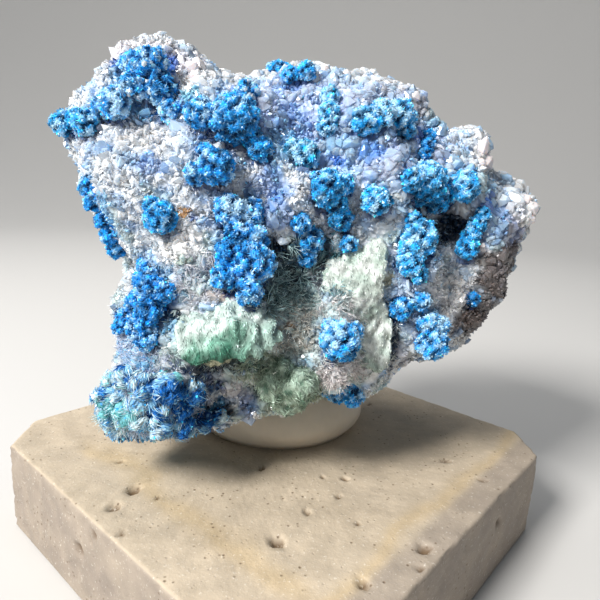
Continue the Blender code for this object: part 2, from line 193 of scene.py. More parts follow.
def corner_normals(points, faces):
    """The unit normal at each point, the sum of its triangles' normals weighted by their areas."""
    a, b, c = points[faces[:, 0]], points[faces[:, 1]], points[faces[:, 2]]
    normal = np.cross(b - a, c - a)
    total = np.zeros_like(points)
    for corner in range(3):
        for axis in range(3):
            total[:, axis] += np.bincount(faces[:, corner], normal[:, axis], len(points))
    return unit(total)


def skin_faces(rings, around):
    """Triangles of a closed skin: a first pole, rings of points in order, and a last pole."""
    step = np.arange(around)
    following = (step + 1) % around
    first = np.stack([np.zeros(around, int), 1 + following, 1 + step], axis=1)
    row = 1 + np.arange(rings - 1)[:, None] * around
    a, b = (row + step).ravel(), (row + following).ravel()
    middle = np.concatenate([np.stack([a, b, a + around], 1), np.stack([b, b + around, a + around], 1)])
    end = 1 + rings * around
    last = np.stack([np.full(around, end), end - around + step, end - around + following], axis=1)
    return np.concatenate([first, middle, last])


def place_mesh(name, points, faces, material, smooth):
    """An object at the origin from points in millimetres and triangles."""
    mesh = bpy.data.meshes.new(name)
    mesh.vertices.add(len(points))
    mesh.vertices.foreach_set("co", (np.asarray(points) * MM).astype(np.float32).ravel())
    mesh.loops.add(faces.size)
    mesh.loops.foreach_set("vertex_index", faces.astype(np.int32).ravel())
    mesh.polygons.add(len(faces))
    mesh.polygons.foreach_set("loop_start", np.arange(0, faces.size, 3, dtype=np.int32))
    mesh.polygons.foreach_set("use_smooth", np.full(len(faces), smooth))
    mesh.update(calc_edges=True)
    mesh.materials.append(material)
    placed = bpy.data.objects.new(name, mesh)
    bpy.context.scene.collection.objects.link(placed)
    return placed


def make_piece(name, points, faces, material, tone, replaced=(), smooth=False):
    """A piece from points in millimetres, triangles, and a colour for each point; it rides on the root."""
    piece = place_mesh(name, points, faces, material, smooth)
    painted = piece.data.attributes.new("tone", "FLOAT_COLOR", "POINT")
    painted.data.foreach_set("color", np.c_[tone, np.ones(len(points))].astype(np.float32).ravel())
    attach(piece, "root")
    if replaced:
        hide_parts(*replaced)


def add_node(tree, kind, inputs, **settings):
    """A shader node with its settings, its inputs given as values or as other nodes' outputs."""
    node = tree.nodes.new("ShaderNode" + kind)
    for key, value in settings.items():
        setattr(node, key, value)
    for key, value in inputs.items():
        if isinstance(value, bpy.types.NodeSocket):
            tree.links.new(value, node.inputs[key])
        else:
            node.inputs[key].default_value = value
    return node


def noise(tree, place, scale, detail):
    """Cloudy noise from 0 to 1; its scale is one over the size of its blotches in metres."""
    inputs = {"Vector": place, "Scale": scale, "Detail": detail, "Roughness": 0.6}
    return add_node(tree, "TexNoise", inputs).outputs["Fac"]


def cells(tree, place, size):
    """The distance from the middle of the nearest cell, for cells of a size in millimetres."""
    return add_node(tree, "TexVoronoi", {"Vector": place, "Scale": 1.0 / (size * MM)}).outputs["Distance"]


def sum_up(tree, kind, *values):
    """Two values added, subtracted or multiplied, or one made positive."""
    return add_node(tree, "Math", dict(enumerate(values)), operation=kind).outputs[0]


def mix_tones(tree, share, first, second, kind="MIX"):
    """Two colours mixed by a share, by position because a Mix node's sockets share their names."""
    inputs = {0: share, 6: first, 7: second}
    return add_node(tree, "Mix", inputs, data_type="RGBA", blend_type=kind).outputs[2]


def fit_range(tree, value, low, high, to_low, to_high):
    """A value's low and high turned into two others, and held between them."""
    return add_node(tree, "MapRange", {"Value": value, "From Min": low, "From Max": high,
                                       "To Min": to_low, "To Max": to_high}).outputs["Result"]


CLOUD_LOW = 0.3
CLOUD_HIGH = 0.7
CLOUD_INPUTS = [("Place", "Vector"), ("Tone", "Color"), ("Cloud Scale", "Float"), ("Cloud Detail", "Float"),
                ("Dark", "Float"), ("Pale", "Float"), ("Smooth", "Float"), ("Dull", "Float"),
                ("Grain Scale", "Float"), ("Grain Detail", "Float"),
                ("Dark At", "Float"), ("Smooth At", "Float")]
CLOUD_OUTPUTS = [("Colour", "Color"), ("Roughness", "Float"), ("Grain", "Float")]


def cloud_group():
    """The group that every stone here uses: a tone and a shine that both follow the same clouds,
    and a finer grain for the bump. The tone is multiplied from dark to pale, the roughness
    runs from smooth to dull, each from its own low cloud value, and sizes go in as noise scales."""
    group = bpy.data.node_groups.new("clouds_and_grain", "ShaderNodeTree")
    for side, sockets in (("INPUT", CLOUD_INPUTS), ("OUTPUT", CLOUD_OUTPUTS)):
        for name, kind in sockets:
            group.interface.new_socket(name, in_out=side, socket_type="NodeSocket" + kind)
    given = group.nodes.new("NodeGroupInput").outputs
    result = group.nodes.new("NodeGroupOutput").inputs
    cloud, grain = [noise(group, given["Place"], given[kind + " Scale"], given[kind + " Detail"])
                    for kind in ("Cloud", "Grain")]
    strength = fit_range(group, cloud, given["Dark At"], CLOUD_HIGH, given["Dark"], given["Pale"])
    group.links.new(mix_tones(group, 1.0, given["Tone"], strength, "MULTIPLY"), result["Colour"])
    dullness = fit_range(group, cloud, given["Smooth At"], CLOUD_HIGH, given["Smooth"], given["Dull"])
    group.links.new(dullness, result["Roughness"])
    group.links.new(grain, result["Grain"])
    return group


CLOUDS = cloud_group()


def clouded_material(name, cloud, tones, shine, grain, dark_at=CLOUD_LOW, smooth_at=CLOUD_LOW):
    """A material that shows the tone painted on the points, clouded by the group: each cloud's size
    and detail, how dark to how pale, how smooth to how dull, the grain's size and detail, and the
    cloud values where it is darkest and smoothest."""
    material = bpy.data.materials.new(name)
    material.use_nodes = True
    tree = material.node_tree
    place = tree.nodes.new("ShaderNodeTexCoord").outputs["Object"]
    tone = add_node(tree, "Attribute", {}, attribute_name="tone").outputs["Color"]
    clouds = add_node(tree, "Group", {}, node_tree=CLOUDS)
    tree.links.new(place, clouds.inputs["Place"])
    tree.links.new(tone, clouds.inputs["Tone"])
    values = (1.0 / (cloud[0] * MM), cloud[1], *tones, *shine, 1.0 / (grain[0] * MM), grain[1],
              dark_at, smooth_at)
    for socket, value in zip(list(clouds.inputs)[2:], values):
        socket.default_value = value
    shader = tree.nodes["Principled BSDF"]
    tree.links.new(clouds.outputs["Colour"], shader.inputs["Base Color"])
    tree.links.new(clouds.outputs["Roughness"], shader.inputs["Roughness"])
    return material, tree, shader, place, clouds.outputs


def raise_bump(tree, shader, height, depth):
    """Gives the shader a bump of the given depth in millimetres."""
    bump = add_node(tree, "Bump", {"Height": height, "Distance": depth * MM, "Strength": 1.0})
    tree.links.new(bump.outputs["Normal"], shader.inputs["Normal"])


def let_light_sink(shader, share, tint, depth):
    """A share of the light sinks in and comes out up to the depth in millimetres away, tinted."""
    shader.inputs["Subsurface Weight"].default_value = share
    shader.inputs["Subsurface Radius"].default_value = tint
    shader.inputs["Subsurface Scale"].default_value = depth * MM


def slab_outline(turn):
    """Points round the slab for turns from 0 to 1: four long sides and four cut corners, walked evenly."""
    half = SLAB_SIDE / 2.0
    inner = half - SLAB_CORNER_CUT
    corners = np.array([(half, -inner), (half, inner), (inner, half), (-inner, half),
                        (-half, inner), (-half, -inner), (-inner, -half), (inner, -half), (half, -inner)])
    length = np.r_[0.0, np.cumsum(np.linalg.norm(np.diff(corners, axis=0), axis=1))]
    walked = turn * length[-1]
    return np.stack([np.interp(walked, length, side) for side in corners.T], axis=1)


def slab_surface():
    """The slab's skin: its outline, drawn in and raised ring by ring from the middle of the
    underside, round the eased edges, up the sides and in again to the middle of the top."""
    bend = np.linspace(0.0, math.pi / 2.0, 6)
    inward = np.concatenate([np.linspace(24.0, 0.6, 5), SLAB_EDGE * (1.0 - np.sin(bend)),
                             np.zeros(26), SLAB_EDGE * (1.0 - np.cos(bend)), np.linspace(0.75, 24.2, 54)])
    height = np.concatenate([np.zeros(5), SLAB_EDGE * (1.0 - np.cos(bend)),
                             np.linspace(0.7, SLAB_THICK - 0.7, 26),
                             SLAB_THICK - SLAB_EDGE * (1.0 - np.sin(bend)), np.full(54, SLAB_THICK)])
    ring = slab_outline(np.arange(SLAB_AROUND) / SLAB_AROUND)
    share = 1.0 - inward / (SLAB_SIDE / 2.0)
    flat = share[:, None, None] * ring[None]
    tall = np.broadcast_to(height[:, None, None], flat.shape[:2] + (1,))
    points = np.concatenate([flat, tall], axis=2).reshape(-1, 3)
    points = np.concatenate([[(0.0, 0.0, 0.0)], points, [(0.0, 0.0, SLAB_THICK)]])
    return points, skin_faces(len(height), SLAB_AROUND)


def slab_pits(rng):
    """The named pits and then small ones strewn over the top and the sides."""
    half = SLAB_SIDE / 2.0
    small = []
    for _ in range(SLAB_SMALL_PITS):
        along, across, up = rng.uniform(-half, half, 3)
        radius = rng.uniform(0.25, 0.42)
        if rng.random() < 0.62:
            small.append((along, across, SLAB_THICK, radius))
        else:
            side = rng.integers(4)
            up = rng.uniform(1.0, SLAB_THICK - 0.6)
            spot = [(half, across), (-half, across), (along, half), (along, -half)][side]
            small.append((*spot, up, radius))
    return np.array(SLAB_PITS + small)


def make_slab():
    """The slab's skin, sunk along its normals by a fine roughness, coarser on the sawn sides, and at
    each pit by exp(-0.7 r^4) of its depth, r the ragged distance from its middle in 0.8 radii. The
    tone runs from cream to tan in two streaks, to grey on the sides and to brown in the pits."""
    points, faces = slab_surface()
    faces = outward(points, faces)
    normal = corner_normals(points, faces)
    rng = np.random.default_rng(11)
    on_top = ramp(normal[:, 2], 0.5, 0.9)
    rough = 0.035 * waves(points, 3.0, 21) + 0.02 * waves(points, 0.9, 22)
    sunk = rough * (1.0 + 1.6 * (1.0 - on_top))
    hole = np.zeros(len(points))
    for along, across, up, radius in slab_pits(rng):
        offset = (points - (along, across, up)) @ np.diag([0.85, 1.0, 1.0])
        near = np.linalg.norm(offset, axis=1) / (0.8 * radius)
        close = np.flatnonzero(near < 2.2)
        ragged = near[close] * (1.0 + 0.12 * waves(points[close], 0.9, 23))
        depth = np.exp(-0.7 * ragged ** 4)
        sunk[close] -= depth * radius * 0.95
        hole[close] = np.maximum(hole[close], depth)
    keep = ramp(points[:, 2], 0.0, 0.6)
    points = points + normal * (np.minimum(sunk - 0.04, -0.02) * keep)[:, None]

    along, across = points[:, 0], points[:, 1]
    sway = 0.9 * waves(points * (1.0, 1.0, 0.0), 14.0, 24) + 0.4 * waves(points, 4.0, 25)
    streak = np.exp(-(((along + 17.1 + sway) / 1.5) ** 2))
    streak *= ramp(across, -24.0, -16.0) * ramp(-across, -18.0, -12.0)
    streak = np.maximum(streak, np.exp(-(((across + 20.7 + 0.5 * sway) / 0.95) ** 2)))
    edge_band = ramp(-across, 21.2, 22.4) * 0.75
    cloudy = 0.5 + 0.25 * waves(points, 7.0, 26) + 0.15 * waves(points, 2.2, 27)
    tone = blend_tone(SLAB_CREAM, SLAB_TAN, on_top * (streak * 0.5 + 0.08 * cloudy))
    grey = np.clip((1.0 - on_top) * 0.9 + on_top * edge_band, 0.0, 1.0)
    tone = tone * (1.0 - grey)[:, None] + blend_tone(SLAB_GREY, SLAB_CREAM, 0.30 * cloudy) * grey[:, None]
    tone = blend_tone(tone, SLAB_PIT_BROWN, ramp(hole, 0.35, 0.9) * 0.9)
    spin = np.array(Matrix.Rotation(SLAB_TURN, 3, "Z"))
    make_piece("travertine", points @ spin.T, faces, travertine_material(), tone,
               ["travertine_slab"], smooth=True)


def travertine_material():
    """Cream lime stone: the painted tone, clouded, with patches of fine dark pores and pale specks."""
    material, tree, shader, place, clouds = clouded_material(
        "honed_travertine", (2.6, 5.0), (0.86, 1.08), (0.55, 0.75), (0.35, 2.0), dark_at=0.35)
    pore = cells(tree, place, 0.75)
    patchy = fit_range(tree, noise(tree, place, 1.0 / (3.5 * MM), 2.0), 0.48, 0.60, 0.0, 1.0)
    pored = sum_up(tree, "MULTIPLY", fit_range(tree, pore, 0.08, 0.24, 0.85, 0.0), patchy)
    colour = mix_tones(tree, pored, clouds["Colour"], (0.13, 0.085, 0.045, 1.0))
    speck = fit_range(tree, clouds["Grain"], 0.62, 0.74, 0.0, 0.35)
    colour = mix_tones(tree, speck, colour, (0.95, 0.90, 0.80, 1.0))
    tree.links.new(colour, shader.inputs["Base Color"])
    pitted = fit_range(tree, pore, 0.0, 0.2, 0.0, 1.0)
    raise_bump(tree, shader, sum_up(tree, "ADD", clouds["Grain"], pitted), 0.05)
    return material


make_slab()


# The putty: a pad of white kneaded putty, pressed flat on the slab and smoothed by a thumb,
# with the rock pushed down into its crown.
PUTTY_PLACE = (-1.2, 7.5)
PUTTY_SIDE = [
    (11.2, 0.0), (11.8, 1.6), (11.6, 3.2), (10.6, 5.0), (8.6, 7.0), (5.0, 8.8), (0.0, 9.8),
]
PUTTY_GAP = 0.3
PUTTY_TONE = (0.70, 0.63, 0.52)


def make_putty():
    """The pad's profile, smoothed, carried round its middle and dented by long soft waves."""
    radius, rise = np.array(PUTTY_SIDE).T
    walked = np.r_[0.0, np.cumsum(np.hypot(np.diff(radius), np.diff(rise)))]
    step = np.linspace(0.0, walked[-1], 48)[:-1]
    soft = np.exp(-0.5 * ((step[:, None] - np.linspace(0.0, walked[-1], 200)[None]) / 0.7) ** 2)
    soft /= soft.sum(axis=1)[:, None]
    fine = np.linspace(0.0, walked[-1], 200)
    side = soft @ np.interp(fine, walked, radius)
    tall = soft @ np.interp(fine, walked, rise)
    side[0], tall[0] = radius[0] - 0.5, 0.0
    side = np.r_[2.0, 6.0, 9.5, side]
    tall = np.r_[0.0, 0.0, 0.0, tall]
    turn = np.linspace(0.0, 2.0 * math.pi, 96, endpoint=False)
    points = np.stack([side[:, None] * np.cos(turn), side[:, None] * np.sin(turn),
                       np.broadcast_to(tall[:, None], (len(side), 96))], axis=2).reshape(-1, 3)
    points = np.concatenate([[(0.0, 0.0, 0.0)], points, [(0.0, 0.0, rise[-1] - 0.2)]])
    dent = 1.0 + 0.022 * waves(points, 9.0, 31) * ramp(points[:, 2], 0.2, 2.0)
    points[:, :2] *= dent[:, None]
    points += (PUTTY_PLACE[0], PUTTY_PLACE[1], SLAB_THICK + PUTTY_GAP)
    points[0, 2] = SLAB_THICK
    low = points[:, 2] <= SLAB_THICK + PUTTY_GAP + 0.001
    points[low, 2] = SLAB_THICK + 0.02
    faces = outward(points, skin_faces(len(side), 96))
    tone = np.broadcast_to(PUTTY_TONE, points.shape)
    make_piece("putty_pad", points, faces, putty_material(), tone, ["mounting_putty"], smooth=True)


def putty_material():
    """Milky putty: light sinks a little way in, and the skin has a soft, uneven shine."""
    material, tree, shader, _, clouds = clouded_material(
        "milky_putty", (2.5, 3.0), (0.94, 1.04), (0.38, 0.55), (0.5, 2.0))
    let_light_sink(shader, 0.35, (1.0, 0.8, 0.6), 1.2)
    raise_bump(tree, shader, clouds["Grain"], 0.01)
    return material


make_putty()


# The rock: one lump of pale quartz on copper-stained matrix, broken from its wall, held up
# by the putty alone. Its face is stained blue, teal, sage and rust by the minerals on it;
# painted shade darkens its hollows and the rock under its balls and ledge.
ROCK_HEART = np.array([0.0, 2.0, 34.0])
ROCK_MIDDLE = 3.0
ROCK_FRONT_DEPTH = 13.0
ROCK_BACK_DEPTH = 14.0
ROCK_SQUARENESS = 2.6
ROCK_LEAN_ACROSS = 0.12
ROCK_LEAN_UP = 0.22
ROCK_AROUND = 300
ROCK_RINGS = 116
# Outline from the front: heading round the heart in degrees, and the reach to the edge.
ROCK_OUTLINE = [
    (5, 28.0), (14, 30.4), (22, 28.1), (27, 25.9), (36, 25.8), (42, 23.2), (55, 23.6), (70, 22.6),
    (76, 22.9), (84, 21.7), (89, 20.2), (94, 20.3), (100, 21.5), (106, 21.5), (112, 21.2), (115, 22.2),
    (118, 24.7), (124, 28.0), (129, 28.4), (134, 29.6), (143, 28.7), (152, 29.6), (160, 25.6), (169, 22.0),
    (182, 18.5), (198, 19.3), (210, 21.0), (217, 24.2), (228, 24.8), (240, 21.8), (250, 19.6), (257, 17.4),
    (272, 17.0), (290, 16.6), (308, 17.0), (322, 18.6), (340, 22.4), (355, 25.0),
]
# Swells and hollows of the face: across, up, spread, and how far they stand forward.
ROCK_FACE = [
    (-17.0, 15.0, 6.0, 5.0), (-5.5, 28.0, 3.5, 1.5), (-6.0, 22.6, 2.2, -1.6), (-6.3, 19.8, 1.8, -2.4),
    (1.5, 34.5, 3.4, -2.4), (14.0, 34.0, 6.0, -2.0), (17.2, 38.4, 2.2, -4.0), (-14.5, 44.5, 4.0, 1.0),
]
WHITE = (0.69, 0.735, 0.79)
PALE_BLUE = (0.26, 0.50, 0.88)
VEILED = (0.22, 0.52, 0.84)
MINT = (0.48, 0.67, 0.64)
SLATE = (0.17, 0.29, 0.45)
PINK_WHITE = (0.86, 0.80, 0.83)
LILAC = (0.50, 0.58, 0.92)
BLUE_VEIL = (0.08, 0.25, 0.66)
ULTRAMARINE = (0.004, 0.11, 0.50)
SKY = (0.06, 0.34, 0.68)
TEAL = (0.10, 0.42, 0.50)
SAGE = (0.46, 0.60, 0.50)
MOSS = (0.10, 0.18, 0.13)
OLIVE = (0.24, 0.32, 0.25)
CREAM = (0.62, 0.60, 0.44)
SNOW = (0.92, 0.93, 0.95)
RUST = (0.50, 0.24, 0.06)
# Dark brown: the brown matrix, deepened on the face's lower right as painted shade of its underside.
EARTH_AND_SHADE = (0.12, 0.09, 0.08)
# Near black: painted shade in the face's hollows, the cave, right of the rib and under the ledge.
HOLLOW_SHADE = (0.002, 0.014, 0.035)
# Navy: painted shade round and below the blue balls, under the ledge and in hollows.
NAVY_SHADE = (0.002, 0.035, 0.15)
STAIN_WANDER = 2.2
# Stains of the face: across, up, half width, half height, colour and strength. Some are painted
# shade, not stain: the near-black, the very dark teal and the navy ones darken the hollows, the cave,
# the gap right of the rib and the rock under the ledge and beside the foot.
FACE_STAINS_AND_SHADE = [
    (2.0, 49.0, 9.5, 5.5, PALE_BLUE, 0.6), (12.0, 46.0, 8.5, 5.0, PALE_BLUE, 0.45),
    (22.5, 41.0, 3.6, 4.0, PALE_BLUE, 0.4), (-8.0, 48.0, 5.0, 4.0, PALE_BLUE, 0.35),
    (-15.5, 54.3, 5.0, 2.0, PINK_WHITE, 0.6), (3.0, 27.0, 8.0, 7.0, MINT, 0.45),
    (-15.0, 29.0, 5.0, 6.0, MINT, 0.35), (-9.5, 35.5, 3.0, 2.4, MINT, 0.4),
    (12.5, 31.0, 5.0, 5.0, PALE_BLUE, 0.4), (0.0, 50.5, 5.5, 3.5, LILAC, 0.55),
    (9.0, 51.5, 6.0, 2.2, LILAC, 0.4), (9.4, 45.4, 3.0, 2.0, LILAC, 0.6),
    (14.6, 47.6, 2.6, 2.6, LILAC, 0.5), (-1.4, 52.9, 1.8, 1.0, BLUE_VEIL, 0.6),
    (-0.5, 48.9, 1.9, 1.9, BLUE_VEIL, 0.55), (-5.5, 51.4, 1.2, 1.2, ULTRAMARINE, 0.8),
    (7.6, 46.3, 1.4, 1.0, BLUE_VEIL, 0.85), (4.3, 45.0, 0.9, 0.8, ULTRAMARINE, 0.85),
    (12.9, 48.3, 0.7, 1.0, ULTRAMARINE, 0.7), (15.9, 46.1, 0.7, 0.6, ULTRAMARINE, 0.8),
    (15.3, 50.4, 1.6, 1.4, TEAL, 0.35), (21.2, 41.8, 0.6, 0.9, ULTRAMARINE, 0.8),
    (19.6, 43.8, 1.4, 1.4, TEAL, 0.35), (24.3, 38.8, 2.2, 2.5, (0.26, 0.28, 0.50), 0.6),
    (-13.5, 43.6, 1.4, 1.1, BLUE_VEIL, 0.6), (-12.9, 50.0, 1.5, 2.3, ULTRAMARINE, 0.95),
    (-13.6, 53.4, 0.9, 1.7, ULTRAMARINE, 0.9), (-16.0, 51.9, 2.7, 1.9, SKY, 0.75),
    (-16.8, 48.9, 2.8, 1.3, SKY, 0.75), (-22.6, 47.6, 2.4, 1.7, SKY, 0.7),
    (-18.1, 53.4, 0.6, 0.6, ULTRAMARINE, 0.8), (-10.5, 50.7, 1.3, 0.8, TEAL, 0.6),
    (-20.7, 41.2, 1.2, 1.8, SKY, 0.7), (-18.2, 38.0, 1.0, 2.6, SKY, 0.7), (-4.6, 36.5, 3.0, 4.4, SKY, 0.5),
    (-8.5, 34.1, 1.8, 1.6, (0.42, 0.45, 0.58), 0.6), (-10.1, 35.2, 1.3, 0.9, SAGE, 0.6),
    (-13.0, 31.0, 2.7, 4.6, SKY, 0.65), (-17.4, 26.8, 1.0, 2.6, ULTRAMARINE, 0.7),
    (-11.0, 30.1, 1.3, 0.7, HOLLOW_SHADE, 0.95), (-16.6, 31.6, 1.0, 2.8, WHITE, 0.8),
    (-15.3, 24.9, 0.8, 2.2, WHITE, 0.7), (-6.4, 24.9, 4.4, 0.9, HOLLOW_SHADE, 0.95),
    (-5.0, 21.9, 1.4, 1.2, (0.45, 0.45, 0.50), 0.85), (-6.9, 19.3, 2.4, 1.2, HOLLOW_SHADE, 0.97),
    (-2.1, 25.2, 1.9, 1.6, MOSS, 0.75), (-2.1, 23.6, 2.6, 0.5, CREAM, 0.7),
    (0.4, 21.2, 3.6, 3.2, OLIVE, 0.8), (-0.4, 33.4, 3.4, 3.6, (0.006, 0.045, 0.065), 0.92),
    (2.8, 36.0, 2.2, 2.2, (0.006, 0.045, 0.08), 0.9), (5.6, 34.8, 1.6, 3.0, (0.02, 0.10, 0.12), 0.85),
    (0.4, 32.9, 0.9, 1.4, HOLLOW_SHADE, 0.9), (1.3, 28.0, 1.7, 1.8, (0.24, 0.21, 0.17), 0.6),
    (0.6, 28.9, 0.45, 0.35, RUST, 0.85), (-6.2, 31.8, 1.0, 0.5, RUST, 0.5),
    (6.2, 24.4, 2.2, 1.4, PINK_WHITE, 0.7), (11.4, 26.4, 0.7, 4.2, HOLLOW_SHADE, 0.92),
    (17.3, 32.1, 3.0, 2.6, WHITE, 0.8), (20.7, 28.9, 1.9, 1.5, EARTH_AND_SHADE, 0.85),
    (13.4, 25.6, 1.5, 2.0, (0.38, 0.36, 0.40), 0.6), (17.3, 38.6, 3.3, 2.6, HOLLOW_SHADE, 0.98),
    (20.8, 36.6, 0.5, 0.6, PINK_WHITE, 0.8), (24.0, 34.0, 3.4, 3.6, EARTH_AND_SHADE, 0.9),
    (21.5, 29.0, 3.6, 3.2, EARTH_AND_SHADE, 0.85), (-13.0, 20.5, 5.5, 3.4, SKY, 0.6),
    (-14.0, 16.8, 5.5, 2.6, SKY, 0.85), (-17.2, 20.2, 1.3, 1.2, TEAL, 0.7),
    (-12.3, 21.1, 1.2, 0.7, MOSS, 0.5), (-2.2, 42.2, 2.4, 2.0, BLUE_VEIL, 0.5),
    (-1.4, 39.6, 1.8, 1.8, BLUE_VEIL, 0.55), (-10.0, 36.6, 1.9, 1.6, SNOW, 0.95),
    (-11.9, 36.0, 1.8, 1.6, SNOW, 0.8), (-14.4, 46.4, 3.0, 1.1, SNOW, 0.8),
    (3.5, 33.6, 1.5, 2.2, HOLLOW_SHADE, 0.85), (-1.4, 36.2, 1.3, 2.0, HOLLOW_SHADE, 0.9),
    (-0.6, 31.6, 2.2, 1.6, (0.03, 0.07, 0.07), 0.8), (-7.6, 22.7, 2.0, 1.2, NAVY_SHADE, 0.8),
    (-3.6, 20.0, 1.2, 1.8, NAVY_SHADE, 0.75), (18.0, 31.6, 2.4, 2.2, SNOW, 0.9),
    (15.2, 33.0, 1.2, 1.0, SNOW, 0.7), (-14.5, 25.2, 3.2, 1.6, SKY, 0.7), (8.9, 23.6, 1.2, 1.4, SNOW, 0.6),
    (25.4, 40.6, 1.6, 1.6, SNOW, 0.5), (22.6, 39.4, 1.6, 1.8, PALE_BLUE, 0.6),
    (20.6, 46.0, 1.4, 1.4, SNOW, 0.6), (18.4, 44.6, 1.6, 1.2, PALE_BLUE, 0.5),
    (-11.2, 52.4, 1.2, 1.6, SNOW, 0.7), (-10.6, 24.7, 1.6, 0.8, NAVY_SHADE, 0.6),
    (-1.5, 46.4, 1.6, 1.8, VEILED, 0.5), (-10.1, 39.4, 0.6, 0.45, RUST, 0.9),
    (-9.2, 39.0, 0.4, 0.5, ULTRAMARINE, 0.9), (10.1, 33.5, 0.5, 0.9, CREAM, 0.85),
]
# Drifts of the back: their size, the seed of their waves, colour, how high the waves rise and strength.
BACK_STAINS = [
    (9.0, 43, LILAC, 0.5, 0.6), (6.0, 44, SKY, 1.0, 0.7), (8.0, 45, SAGE, 1.0, 0.6),
    (5.0, 46, EARTH_AND_SHADE, 1.3, 0.5),
]


def rock_surface(heading):
    """Points of the rock for unit headings from its heart.

    The reach is a rounded box between the outline and the half depths. The body then
    leans with x and z, and the face swells forward by the named bumps.
    """
    angles, reaches = np.array(ROCK_OUTLINE).T
    turn = np.degrees(np.arctan2(heading[:, 2], heading[:, 0])) % 360.0
    edge = np.interp(turn, angles, reaches, period=360.0)
    depth = np.where(heading[:, 1] < 0.0, ROCK_FRONT_DEPTH, ROCK_BACK_DEPTH)
    flat = np.hypot(heading[:, 0], heading[:, 2]) / edge
    deep = np.abs(heading[:, 1]) / depth
    reach = (flat ** ROCK_SQUARENESS + deep ** ROCK_SQUARENESS) ** (-1.0 / ROCK_SQUARENESS)
    spot = heading * reach[:, None]
    spot[:, 1] += ROCK_LEAN_ACROSS * spot[:, 0] + ROCK_LEAN_UP * spot[:, 2]
    place = ROCK_HEART + spot
    facing = np.clip(0.35 - heading[:, 1], 0.0, 1.0)
    for across, up, spread, forward in ROCK_FACE:
        near = np.hypot(place[:, 0] - across, place[:, 2] - up) / spread
        place[:, 1] -= forward * np.exp(-0.5 * near ** 2) * facing
    relief = heading * (0.9 * waves(place, 9.0, 3) + 0.45 * waves(place, 4.5, 5))[:, None]
    return place + relief


def rock_grid(around, rings, crowding):
    """The rock's skin: headings from a pole at the front to one at the back, the rings crowded forward."""
    fall = math.pi * (np.arange(1, rings + 1) / (rings + 1.0)) ** crowding
    turn = 2.0 * math.pi * np.arange(around) / around
    ring = np.stack([np.cos(turn), np.zeros(around), np.sin(turn)], axis=1)
    heading = np.sin(fall)[:, None, None] * ring[None]
    heading[:, :, 1] = -np.cos(fall)[:, None]
    heading = np.concatenate([[(0.0, -1.0, 0.0)], heading.reshape(-1, 3), [(0.0, 1.0, 0.0)]])
    points = rock_surface(heading)
    return points, outward(points, skin_faces(rings, around))


def face_share(points):
    """1 on the show face, 0 on the back: how far a point stands before the leaning middle sheet."""
    middle = ROCK_MIDDLE + ROCK_LEAN_ACROSS * points[:, 0] + ROCK_LEAN_UP * (points[:, 2] - ROCK_HEART[2])
    return ramp(middle - points[:, 1], -2.5, 2.5)


